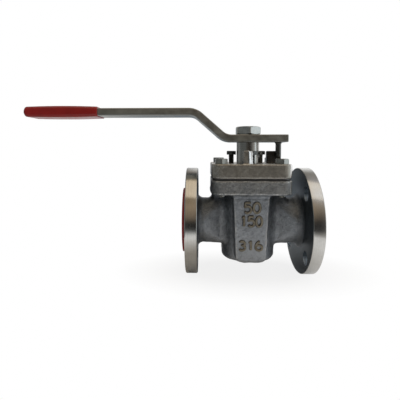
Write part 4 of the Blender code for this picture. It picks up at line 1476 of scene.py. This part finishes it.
@dataclass
class HexForm:
    """Hexagonal heads and nuts as rings whose radius is a hexagon's, held inside a chamfer cone.

    Attributes:
        flats: Width across the flats.
        turn: Bearing of a flat.
        around: Points round a ring.
        chamfer: How steep the chamfer cone is.
        rim_share: Radius of the flat circle on top, as a share of the width across the flats.
        corner: Radius at which the corners are rounded off, as a share of their sharp radius.
        blend: Softness of that rounding, as a share of the same radius.
        inset: Radius of the last ring of a face, as a share of the ring before it.
        loop: Height of the narrow rings that keep the flats flat.
    """

    flats: float
    turn: float = 0.0
    around: int = 144
    chamfer: float = math.radians(30.0)
    rim_share: float = 0.46
    corner: float = 0.985
    blend: float = 0.0012
    inset: float = 0.985
    loop: float = 0.25 * MM

    def bearing(self) -> Array:
        """Angles round a ring."""
        return circle_angles(self.around)

    def radius(self) -> Array:
        """The hexagon's radius on each bearing, with the corners slightly rounded."""
        from_flat = (self.bearing() - self.turn + math.pi / 6) % (math.pi / 3) - math.pi / 6
        sharp = self.flats / 2 / np.cos(from_flat)
        limit = self.flats / 2 / math.cos(math.pi / 6) * self.corner
        soft = self.blend * limit
        return -np.logaddexp(-sharp / soft, -limit / soft) * soft

    def rings(self, low: float, high: float, both: bool = False) -> Array:
        """Rings of a head from its underside to its top.

        A ring lies where a cone that starts at the rim circle meets the hexagon's sides.

        Args:
            low: Height of the underside.
            high: Height of the top.
            both: Whether the underside is chamfered too.

        Returns:
            Points, shape (count, around, 3).
        """
        plain_rise, bow, rim_drop = 0.12 * MM, 0.46, 0.04 * MM
        hexagon = self.radius()
        rim = self.flats * self.rim_share
        drop = np.maximum(hexagon - rim, 0.0) * math.tan(self.chamfer)
        rise = low + (drop if both else plain_rise)
        fall = high - drop
        levels = [
            (rim if both else hexagon * self.inset, low),
            (hexagon, rise),
            (hexagon, rise + self.loop),
            (hexagon, fall - self.loop),
            (hexagon, fall),
            ((hexagon + rim) / 2, high - drop * bow),
            (rim, high - rim_drop),
            (rim * self.inset, high),
        ]
        return np.stack([self.ring(radius, height) for radius, height in levels])

    def ring(self, radius: Array | float, height: Array | float) -> Array:
        """One ring from a radius and a height, or from those on each bearing."""
        angles = self.bearing()
        parts = radius * np.cos(angles), radius * np.sin(angles), np.broadcast_to(height, angles.shape)
        return np.stack(parts, axis=1)


@dataclass
class ScrewShank:
    """A threaded shank: the radius falls and rises once for each pitch along the helix.

    Attributes:
        radius: Radius over the crests.
        pitch: Distance between crests.
        low: Height of the tip.
        high: Height of the top.
        depth: Depth of the thread, as a share of the pitch.
        tip: Radius of the tip, as a share of the radius.
        steps: Rings to each pitch.
    """

    radius: float
    pitch: float
    low: float
    high: float
    depth: float = 0.5
    tip: float = 0.75
    steps: int = 7

    def rings(self, form: HexForm) -> Array:
        """Rings of the thread, with a short cone at the tip."""
        crest, steepness = 0.1, 1.25
        heights = np.arange(self.low, self.high, self.pitch / self.steps)
        turns = heights[:, None] / self.pitch - form.bearing() / math.tau
        tooth = np.abs((turns % 1.0) * 2 - 1)
        depth = self.pitch * self.depth * np.clip(tooth * steepness - crest, 0.0, 1.0)
        tip = np.clip(self.radius * self.tip + (heights - self.low)[:, None], 0.0, self.radius)
        radii = np.minimum(self.radius - depth, tip)
        return np.stack([form.ring(row, height) for row, height in zip(radii, heights)])


@dataclass
class CoverBolts:
    """Four hex bolts at the corners of the cover."""

    flats: float = 16.0 * MM
    head_low: float = Cover.high + GAP
    head: float = 6.8 * MM
    radius: float = 5.0 * MM
    end: float = 38.2 * MM
    turns: tuple[float, ...] = (0.05, 0.03, 0.06, 0.05)

    def build(self) -> None:
        """Makes each bolt and dresses it."""
        places = [(x, y) for y in (-BOLT_OFFSET, BOLT_OFFSET) for x in (-BOLT_OFFSET, BOLT_OFFSET)]
        for number, (place, turn) in enumerate(zip(places, self.turns), 1):
            form = HexForm(self.flats, turn)
            head = form.rings(self.head_low, self.head_low + self.head)
            shank = [form.ring(self.radius - MM, self.end), form.ring(self.radius, self.end + MM)]
            shank.append(form.ring(self.radius, self.head_low))
            rings = np.concatenate([np.stack(shank), head]) + np.array([*place, 0.0])
            piece = skin(f"hex_bolt_{number}", rings)
            place_piece(piece, VALVE, Slot.BRIGHT, BOLT_STEEL, f"cover_bolt_{number}")


@dataclass
class AdjusterScrews:
    """Three threaded screws round the stem that press the collar down."""

    flats: float = 13.0 * MM
    head_low: float = 94.0 * MM
    head: float = 5.5 * MM
    radius: float = 4.0 * MM
    pitch: float = 1.25 * MM
    end: float = 73.0 * MM
    neck_share: float = 0.9
    # The screws are alike; adjuster 1 gets the lighter bolt steel as painted light, where it catches the
    # light from the right.
    finishes: tuple[Finish, ...] = (BOLT_STEEL, DARK_BOLT_STEEL, DARK_BOLT_STEEL)

    def build(self) -> None:
        """Makes each screw and dresses it."""
        form = HexForm(self.flats, around=72)
        shank = ScrewShank(self.radius, self.pitch, self.end, self.head_low - 0.2 * MM)
        neck = form.ring(self.radius * self.neck_share, self.head_low)
        head = form.rings(self.head_low, self.head_low + self.head)
        rings = np.concatenate([shank.rings(form), neck[None], head])
        for number, (place, finish) in enumerate(zip(screw_places(), self.finishes), 1):
            piece = skin(f"adjuster_{number}_screw", rings + np.array([*place, 0.0]))
            place_piece(piece, f"adjuster_{number}", Slot.BRIGHT, finish, f"adjuster_screw_{number}")


@dataclass
class Lever:
    """The bent bar, its nut and the stop pin welded under its tail.

    Attributes:
        low: Height of the bar's underside at the stem.
        rise: How much higher the hand end lies.
        tail: Where the bar ends on the pin's side.
        bends: Where the bar's middle line bends up and level again.
        square: Half the side of the hole for the stem.
        thread: Radius of the nut's bore.
        thread_mouth: Size of the chamfers at its ends.
        weld: Radius of the hollow weld bead.
        ripples: Ripples round the bead.
        ripple_depth: Half their depth, as a share of the bead's radius.
    """

    edge: float = 1.1 * MM
    low: float = 111.7 * MM
    rise: float = 36.9 * MM
    tail: float = 54.0 * MM
    bends: Pair = (-33.3 * MM, -75.4 * MM)
    bend_radius: float = 24.0 * MM
    square: float = 11.8 * MM
    square_corner: float = 5.0 * MM
    nut_flats: float = 33.0 * MM
    nut_height: float = 11.3 * MM
    nut_turn: float = math.radians(2.0)
    nut_rim: float = 0.475
    thread: float = 10.3 * MM
    thread_mouth: float = 0.9 * MM
    pin_radius: float = 4.0 * MM
    pin_offset: float = 43.4 * MM
    pin_low: float = 90.6 * MM
    pin_around: int = 72
    weld: float = 2.6 * MM
    ripples: int = 13
    ripple_depth: float = 0.035

    def line(self) -> Array:
        """The bar's middle line in the XZ plane, with an arc at each bend and rounded ends."""
        middle = self.low + BAR_THICKNESS / 2
        corners = [(self.tail, middle), (self.bends[0], middle)]
        corners += [(self.bends[1], middle + self.rise), (BAR_TIP, middle + self.rise)]
        return flood(rounded(corners, self.bend_radius, 16), 4.0 * MM)

    def outline(self) -> Array:
        """The bar's section: a rectangle with rounded edges, with points along its flats too."""
        line = rounded_box(BAR_WIDTH / 2, BAR_THICKNESS / 2, self.edge, 4)
        return flood(np.concatenate([line, line[:1]]), 2.5 * MM)[:-1]

    def bar(self) -> Piece:
        """The bar: its section carried along the middle line, square to it, and rounded off at both ends.

        At an end the section shrinks along a quarter circle: the inset is one less the sine, and the step
        back from the end is one less the cosine, times the edge's radius.

        Returns:
            The piece, with the vertex value "edge".
        """
        line = self.line()
        quarter = np.radians(np.linspace(0.0, 90.0, 5))
        inset = self.edge * (1 - np.sin(quarter))
        back = np.stack([self.edge * (1 - np.cos(quarter)), np.zeros_like(quarter)], axis=1)
        path = np.concatenate([line[0] - back, line[1:-1], (line[-1] + back)[::-1]])
        insets = np.concatenate([inset, np.zeros(len(line) - 2), inset[::-1]])
        ahead = unit(np.gradient(path, axis=0))
        outline = self.outline()
        section = outline - insets[:, None, None] * np.sign(outline)
        rings = np.stack([
            path[:, :1] + ahead[:, 1:] * section[..., 1],
            section[..., 0],
            path[:, 1:] - ahead[:, :1] * section[..., 1],
        ], axis=-1)
        piece = skin("bent_bar", rings)
        past = np.abs(outline) > np.array([BAR_WIDTH / 2, BAR_THICKNESS / 2]) - 1.01 * self.edge
        set_values(piece, "edge", np.tile(np.all(past, axis=1), len(rings)))
        return piece

    def square_cutter(self) -> Piece:
        """The hole for the stem's drive square."""
        outline = rounded_box(self.square, self.square, self.square_corner, 6)
        heights = (self.low - 2 * MM, self.low + BAR_THICKNESS + 2 * MM)
        rings = [np.column_stack([outline, np.full(len(outline), height)]) for height in heights]
        return skin("square_hole", np.stack(rings))

    def nut(self) -> Piece:
        """The lever nut: chamfered on both faces, with a plain bore."""
        form = HexForm(self.nut_flats, self.nut_turn, rim_share=self.nut_rim)
        low = self.low + BAR_THICKNESS + GAP
        high = low + self.nut_height
        outer = form.rings(low, high, both=True)
        mouth = self.thread + self.thread_mouth
        inner = [form.ring(mouth, high), form.ring(self.thread, high - self.thread_mouth)]
        inner += [form.ring(self.thread, low + self.thread_mouth), form.ring(mouth, low)]
        return skin("hex_nut", np.concatenate([outer, np.stack(inner)]), looped=True)

    def pin(self) -> Piece:
        """The stop pin: a round rod with a rippled weld bead at its root."""
        high = self.low - GAP
        corners = [
            (self.pin_radius - MM, self.pin_low),
            (self.pin_radius, self.pin_low + MM),
            (self.pin_radius, high - self.weld),
        ]
        angles = np.radians(np.linspace(180, 90, 9))
        bead = np.stack([
            self.pin_radius + self.weld + self.weld * np.cos(angles),
            high - self.weld + self.weld * np.sin(angles),
        ], axis=1)
        profile = np.concatenate([np.array(corners), bead[1:]])
        rings = turned_rings(profile, Axis.STEM, self.pin_around)
        depth = self.ripple_depth * rising(profile[:, 0], self.pin_radius, self.weld)
        ripple = 1 - depth[:, None] * (1 - np.cos(self.ripples * circle_angles(self.pin_around)))
        rings[..., :2] *= ripple[..., None]
        return skin("welded_pin", rings + np.array([self.pin_offset, 0.0, 0.0]))

    def build(self) -> None:
        """Makes the bar, nut and pin and dresses them."""
        bar = carved(self.bar(), self.square_cutter())
        place_piece(bar, TURNING, Slot.DULL, LEVER_STEEL, "lever")
        place_piece(self.nut(), TURNING, Slot.BRIGHT, NUT_STEEL, "lever_nut")
        place_piece(self.pin(), TURNING, Slot.DULL, DARK_BOLT_STEEL, "stop_pin")


@dataclass
class Grip:
    """The plastic sleeve on the hand end.

    Attributes:
        wall: Thickness beside the bar.
        flat_wall: Middle thickness above and below the bar.
        lift: How far the sleeve sits above the bar's middle, so that its lower wall is thinner.
        crown: How far the sleeve swells in the middle.
        end_round: Radius of the closed end, as a share of half the sleeve's height.
        lip: Length of the rounded lip, as a share of the sleeve's.
        run: Where the swelling run starts and ends, as shares of the sleeve's length.
    """

    length: float = 105.0 * MM
    wall: float = 2.4 * MM
    flat_wall: float = 1.6 * MM
    lift: float = 0.5 * MM
    crown: float = 1.0 * MM
    corner: float = 4.5 * MM
    pocket_corner: float = 1.0 * MM
    end_wall: float = 3.5 * MM
    end_round: float = 0.8
    lip: float = 0.012
    run: Pair = (0.08, 0.985)
    bar_middle: float = Lever.low + BAR_THICKNESS / 2 + Lever.rise

    def section(self, x: float, half: Pair, corner: float, lift: float) -> Array:
        """A rounded rectangle square to the bar, with the given halves of its width and height."""
        outline = rounded_box(*half, min(corner, half[1] * 0.96), 10)
        height = self.bar_middle + lift + outline[:, 1]
        return np.column_stack([np.full(len(outline), x), outline[:, 0], height])

    def build(self) -> None:
        """Lofts the outside from the closed end to the mouth, then the pocket back to its floor."""
        pocket = np.array([BAR_WIDTH / 2 + GAP, BAR_THICKNESS / 2 + GAP])
        half = pocket + (self.wall, self.flat_wall)
        tip = BAR_TIP - GAP - self.end_wall
        mouth = tip + self.length
        radius = half[1] * self.end_round
        rings = []
        for angle in np.radians(np.linspace(4, 90, 12)):
            inset = radius * (1 - math.sin(angle))
            back = radius * (1 - math.cos(angle))
            rings.append(self.section(tip + back, half - inset, self.corner + inset * 0.3, self.lift))
        for share in np.linspace(*self.run, 28):
            swell = self.crown * (4 * share * (1 - share) - 0.25)
            rings.append(self.section(tip + share * self.length, half + swell, self.corner, self.lift))
        for angle in np.radians(np.linspace(0, 90, 5)):
            inset = self.crown * (1.2 * (1 - math.cos(angle)) + 0.2)
            x = mouth - self.lip * self.length * (1 - math.sin(angle))
            rings.append(self.section(x, half - inset, self.corner, self.lift))
        for x in (mouth, mouth - self.crown, BAR_TIP - GAP):
            rings.append(self.section(x, pocket, self.pocket_corner, 0.0))
        piece = skin("grip", np.stack(rings))
        place_piece(piece, TURNING, Slot.GRIP, GRIP_PLASTIC, "grip_sleeve")


@dataclass
class EndCap:
    """A plastic cover pushed into an end bore.

    Attributes:
        name: Name of the end, and of the body that the cap is.
        side: Direction along the flow.
    """

    name: str
    side: int
    low: float = 89.3 * MM
    thickness: float = 3.0 * MM
    radius: float = 45.6 * MM
    spigot: float = 24.5 * MM
    spigot_wall: float = 2.0 * MM
    spigot_depth: float = 13.0 * MM
    dish: float = 0.8 * MM
    dish_rim: Pair = (4.0 * MM, 5.0 * MM)
    middle: float = 0.5 * MM
    edge: float = 0.5 * MM

    def build(self) -> None:
        """Turns the cap and dresses it."""
        high = self.low + self.thickness
        inner = self.spigot - self.spigot_wall
        corners = [
            (self.middle, self.low),
            (inner, self.low),
            (inner, self.low - self.spigot_depth),
            (self.spigot, self.low - self.spigot_depth),
            (self.spigot, self.low),
            (self.radius, self.low),
            (self.radius, high),
            (self.radius - self.dish_rim[0], high),
            (self.radius - self.dish_rim[1], high - self.dish),
            (self.middle, high - self.dish),
        ]
        profile = flood(rounded(corners, self.edge, 4), 4.0 * MM) * (1, self.side)
        piece = skin(f"{self.name}_cover", turned_rings(profile, Axis.FLOW, 160))
        place_piece(piece, self.name, Slot.CAP, CAP_PLASTIC, self.name)


def dress_inner_pieces() -> None:
    """Gives the plug, the sleeve and the stem's packing their finishes."""
    dress_node("plug", STEM_STEEL)
    dress_node("thrust_collar", STEM_STEEL)
    # The diaphragms get near-black finishes as painted shade in the gap between the cover and the top
    # flange.
    dress_node("metal_diaphragm", SHADE_SHEET_STEEL)
    dress_node("soft_diaphragm", SHADE_SEAL_PLASTIC)
    for node in ("port_sleeve", "stem_wedge_ring"):
        dress_node(node, SEAL_PLASTIC)


# Studio


@dataclass
class Viewpoint:
    """The camera.

    Attributes:
        place: Where it stands.
        pitch: How far it looks down.
        yaw: How far it is turned to the left.
        lens: Focal length in millimetres.
        sensor: Width of the sensor in millimetres.
        shift: Offset of the picture's middle.
        nearest: Distance from which on things are seen.
    """

    place: Triple = (-62.9 * MM, -487.7 * MM, 99.66 * MM)
    pitch: float = 0.0542
    yaw: float = 0.0289
    lens: float = 30.39
    sensor: float = 36.0
    shift: Pair = (0.0145, -0.0774)
    nearest: float = 10.0 * MM

    def build(self) -> None:
        """Adds the camera and makes it the scene's."""
        data = bpy.data.cameras.new("viewpoint")
        data.lens = self.lens
        data.sensor_width = self.sensor
        data.shift_x, data.shift_y = self.shift
        data.clip_start = self.nearest
        camera = bpy.data.objects.new("viewpoint", data)
        camera.location = self.place
        camera.rotation_euler = (math.pi / 2 - self.pitch, 0.0, self.yaw)
        bpy.context.collection.objects.link(camera)
        bpy.context.scene.camera = camera


@dataclass
class Lamp:
    """A soft rectangular lamp that points at the valve.

    Attributes:
        name: Name of the lamp.
        place: Where it hangs.
        size: Its width and height.
        power: Its power in watts.
        colour: Its colour.
    """

    name: str
    place: Triple
    size: Pair
    power: float
    colour: Triple

    def build(self) -> None:
        """Adds the lamp."""
        data = bpy.data.lights.new(self.name, "AREA")
        data.shape = "RECTANGLE"
        data.size, data.size_y = self.size
        data.energy = self.power
        data.color = self.colour
        lamp = bpy.data.objects.new(self.name, data)
        lamp.location = self.place
        x, y, z = self.place
        lamp.rotation_euler = (math.atan2(math.hypot(x, y), z), 0.0, math.atan2(y, x) + math.pi / 2)
        bpy.context.collection.objects.link(lamp)


@dataclass(frozen=True)
class Facing:
    """Directions that lie past a start along an axis.

    Attributes:
        axis: Name of the axis.
        start: Part along the axis where the mask is 0.
        full: Part along the axis where it is 1.
    """

    axis: str
    start: float
    full: float


@dataclass
class Studio:
    """Pale floor, soft lamps and the room that the metal mirrors.

    Attributes:
        floor: Height of the floor.
        floor_radius: Radius of the floor.
        floor_tone: Colour of the floor.
        floor_roughness: Roughness of the floor.
        shade: Between which distances the shadow on the floor fades for the camera.
        shade_stretch: Stretch of that shadow along each axis.
        shade_least: How far it is whitened at its darkest.
        mirrored_shade: Between which distances it fades in what metal mirrors.
        mirrored_middle: Offset of that shadow's middle.
        tones: Colours of the room by angle.
        right_tones: The same to the right of the valve.
        beside: Where these set in.
        patches: Colours of other directions, and where they lie.
        low: Where the room lies below the level.
        back: Where it lies behind the valve.
        back_right: Where its back is white above the level.
        back_left: Where its back is white below the level.
        far_right: Where its right side is white.
    """

    floor: float = -75.2 * MM
    floor_radius: float = 0.27
    floor_tone: Triple = (0.92, 0.92, 0.92)
    floor_roughness: float = 0.9
    shade: Pair = (0.05, 0.12)
    shade_stretch: Triple = (0.62, 1.15, 0.0)
    shade_least: float = 0.84
    mirrored_shade: Pair = (0.10, 0.20)
    mirrored_middle: Triple = (0.05, 0.0, 0.0)
    beside: Facing = Facing("X", 0.06, 0.28)
    low: Facing = Facing("Z", -0.03, -0.07)
    back: Facing = Facing("Y", 0.65, 0.9)
    back_right: Facing = Facing("X", -0.12, 0.05)
    back_left: Facing = Facing("X", -0.17, -0.3)
    far_right: tuple[Facing, ...] = (Facing("Y", 0.15, 0.4), Facing("X", 0.5, 0.7))
    patches: tuple[tuple[Triple, tuple[Facing, ...]], ...] = (
        ((0.52, 0.51, 0.49), (Facing("X", 0.38, 0.95),)),
        ((0.15, 0.16, 0.16), (Facing("X", -0.15, -0.5), Facing("Z", -0.85, -0.6))),
        ((0.32, 0.34, 0.35), (Facing("X", -0.8, -0.95), Facing("Y", 0.0, 0.2))),
        ((0.12, 0.2, 0.31), (low, Facing("Z", -0.35, -0.2), back)),
    )
    tones: Tones = (
        (-180.0, (0.42, 0.45, 0.48)),
        (-110.0, (0.30, 0.27, 0.23)),
        (-70.0, (0.46, 0.40, 0.31)),
        (-55.0, (0.78, 0.80, 0.81)),
        (-20.0, (0.82, 0.84, 0.85)),
        (-13.0, (0.02, 0.02, 0.02)),
        (4.0, (0.025, 0.025, 0.025)),
        (14.0, (0.24, 0.19, 0.14)),
        (38.0, (0.42, 0.32, 0.22)),
        (52.0, (0.27, 0.20, 0.12)),
        (103.0, (0.27, 0.19, 0.10)),
        (108.0, (0.06, 0.068, 0.07)),
        (128.0, (0.065, 0.072, 0.075)),
        (137.0, (0.31, 0.275, 0.235)),
        (180.0, (0.42, 0.45, 0.48)),
    )
    right_tones: Tones = (
        (-180.0, (0.42, 0.45, 0.48)),
        (-70.0, (0.76, 0.77, 0.77)),
        (-45.0, (0.62, 0.62, 0.60)),
        (-20.0, (0.34, 0.33, 0.31)),
        (-13.0, (0.03, 0.03, 0.03)),
        (6.0, (0.03, 0.03, 0.03)),
        (20.0, (0.16, 0.13, 0.10)),
        (36.0, (0.34, 0.285, 0.225)),
        (46.0, (0.48, 0.42, 0.36)),
        (64.0, (0.43, 0.50, 0.62)),
        (104.0, (0.43, 0.42, 0.43)),
        (125.0, (0.36, 0.34, 0.31)),
        (180.0, (0.42, 0.45, 0.48)),
    )
    lamps: list[Lamp] = field(default_factory=lambda: [
        Lamp("right_window", (1.56, -0.36, 0.3), (0.56, 1.3), 2.2, (0.75, 0.9, 1.0)),
        Lamp("top_lamp", (-0.05, -0.3, 1.45), (2.2, 1.2), 6.0, (1.0, 0.89, 0.72)),
    ])

    def floor_piece(self) -> None:
        """A round floor: pale where the shadow falls, white to the camera farther out."""
        profile = np.array([(self.floor_radius, self.floor), (self.floor_radius, self.floor - MM)])
        floor = skin("floor", turned_rings(profile, Axis.STEM, 96))
        material = bpy.data.materials.new("pale_floor")
        material.use_nodes = True
        graph = Graph(material.node_tree)
        nodes = material.node_tree.nodes
        shader = nodes["Principled BSDF"]
        shader.inputs["Base Color"].default_value = opaque(self.floor_tone)
        shader.inputs["Roughness"].default_value = self.floor_roughness
        place = graph.node("TexCoord").outputs["Object"]
        seen, mirrored = graph.rays()
        away = graph.length(graph.stretched(place, self.shade_stretch))
        seen_share = graph.spread(away, *self.shade, self.shade_least, 1.0)
        moved = graph.node("VectorMath", (place, self.mirrored_middle)).outputs[0]
        away = graph.length(graph.stretched(moved, (1.0, 1.0, 0.0)))
        mirrored_share = graph.spread(away, *self.mirrored_shade)
        share = graph.math("MAXIMUM", graph.math("MULTIPLY", seen, seen_share),
                           graph.math("MULTIPLY", mirrored, mirrored_share))
        white = graph.node("Emission", {"Color": WHITE, "Strength": 1.0}).outputs[0]
        shown = graph.node("MixShader", (share, shader.outputs[0], white)).outputs[0]
        graph.feed(nodes["Material Output"].inputs["Surface"], shown)
        floor.data.materials.append(material)

    @staticmethod
    def ramp(graph: Graph, share: Socket, tones: Tones) -> Socket:
        """Colours by angle: a full turn from -180 to 180 degrees is a share from 0 to 1.

        Args:
            graph: Graph of the room.
            share: Where on the ramp.
            tones: Angles in degrees with their colours.

        Returns:
            The colour.
        """
        ramp = graph.node("ValToRGB", (share,))
        elements = ramp.color_ramp.elements
        while len(elements) < len(tones):
            elements.new(0.5)
        for element, (degrees, tone) in zip(elements, tones):
            element.position = (degrees + 180.0) / 360.0
            element.color = opaque(tone)
        return ramp.outputs[0]

    @staticmethod
    def mask(graph: Graph, parts: bpy.types.NodeOutputs, *ways: Facing) -> Socket:
        """1 in the directions that face all the given ways, fading to 0 in the others."""
        masks = [graph.spread(parts[way.axis], way.start, way.full) for way in ways]
        return reduce(lambda first, second: graph.math("MULTIPLY", first, second), masks)

    def room(self) -> None:
        """White behind the valve; the rest of the room is what bright metal mirrors.

        The room's tone depends on the angle about X from the level front (0) over the top (90) to the
        back (180), and on how far to the right it lies. Patches at both sides and low at the back have
        tones of their own. Parts of the back and of the right side are white in what metal mirrors.
        """
        world = bpy.data.worlds.new("room")
        world.use_nodes = True
        bpy.context.scene.world = world
        graph = Graph(world.node_tree)
        world.node_tree.nodes.clear()
        parts = graph.parts(graph.node("TexCoord").outputs["Generated"])
        angle = graph.math("ARCTAN2", parts["Z"], graph.math("MULTIPLY", parts["Y"], -1.0))
        share = graph.spread(angle, -math.pi, math.pi)
        ahead = self.ramp(graph, share, self.tones)
        right = self.ramp(graph, share, self.right_tones)
        tone = graph.mix(self.mask(graph, parts, self.beside), ahead, right)
        for colour, ways in self.patches:
            tone = graph.mix(self.mask(graph, parts, *ways), tone, opaque(colour))
        seen, mirrored = graph.rays()
        level = graph.math("SUBTRACT", 1.0, self.mask(graph, parts, self.low))
        high = graph.math("MULTIPLY", level, self.mask(graph, parts, self.back_right))
        low = self.mask(graph, parts, self.low, self.back_left)
        back = graph.math("MULTIPLY", self.mask(graph, parts, self.back), graph.math("MAXIMUM", high, low))
        side = self.mask(graph, parts, *self.far_right)
        behind = graph.math("MULTIPLY", mirrored, graph.math("MAXIMUM", back, side))
        white_share = graph.math("MAXIMUM", seen, behind)
        shown = graph.node("Background", {"Color": tone, "Strength": 1.0}).outputs[0]
        white = graph.node("Background", {"Color": WHITE, "Strength": 1.0}).outputs[0]
        both = graph.node("MixShader", (white_share, shown, white)).outputs[0]
        graph.node("OutputWorld", {"Surface": both})

    def build(self) -> None:
        """Adds the floor, the room and the lamps."""
        self.floor_piece()
        self.room()
        for lamp in self.lamps:
            lamp.build()
        bpy.context.scene.view_settings.view_transform = "Standard"


def main() -> None:
    """Builds every piece in order."""
    logging.basicConfig(level=logging.INFO, format="%(name)s %(message)s")
    Viewpoint().build()
    Casting().build()
    CastNumbers().build()
    for name, side in (("inlet", -1), ("outlet", 1)):
        EndFlange(name, side).build()
        EndCap(f"{name}_cap", side).build()
    Cover().build()
    CoverBolts().build()
    AdjusterScrews().build()
    Lever().build()
    Grip().build()
    dress_inner_pieces()
    Studio().build()


if __name__ == "__main__":
    main()
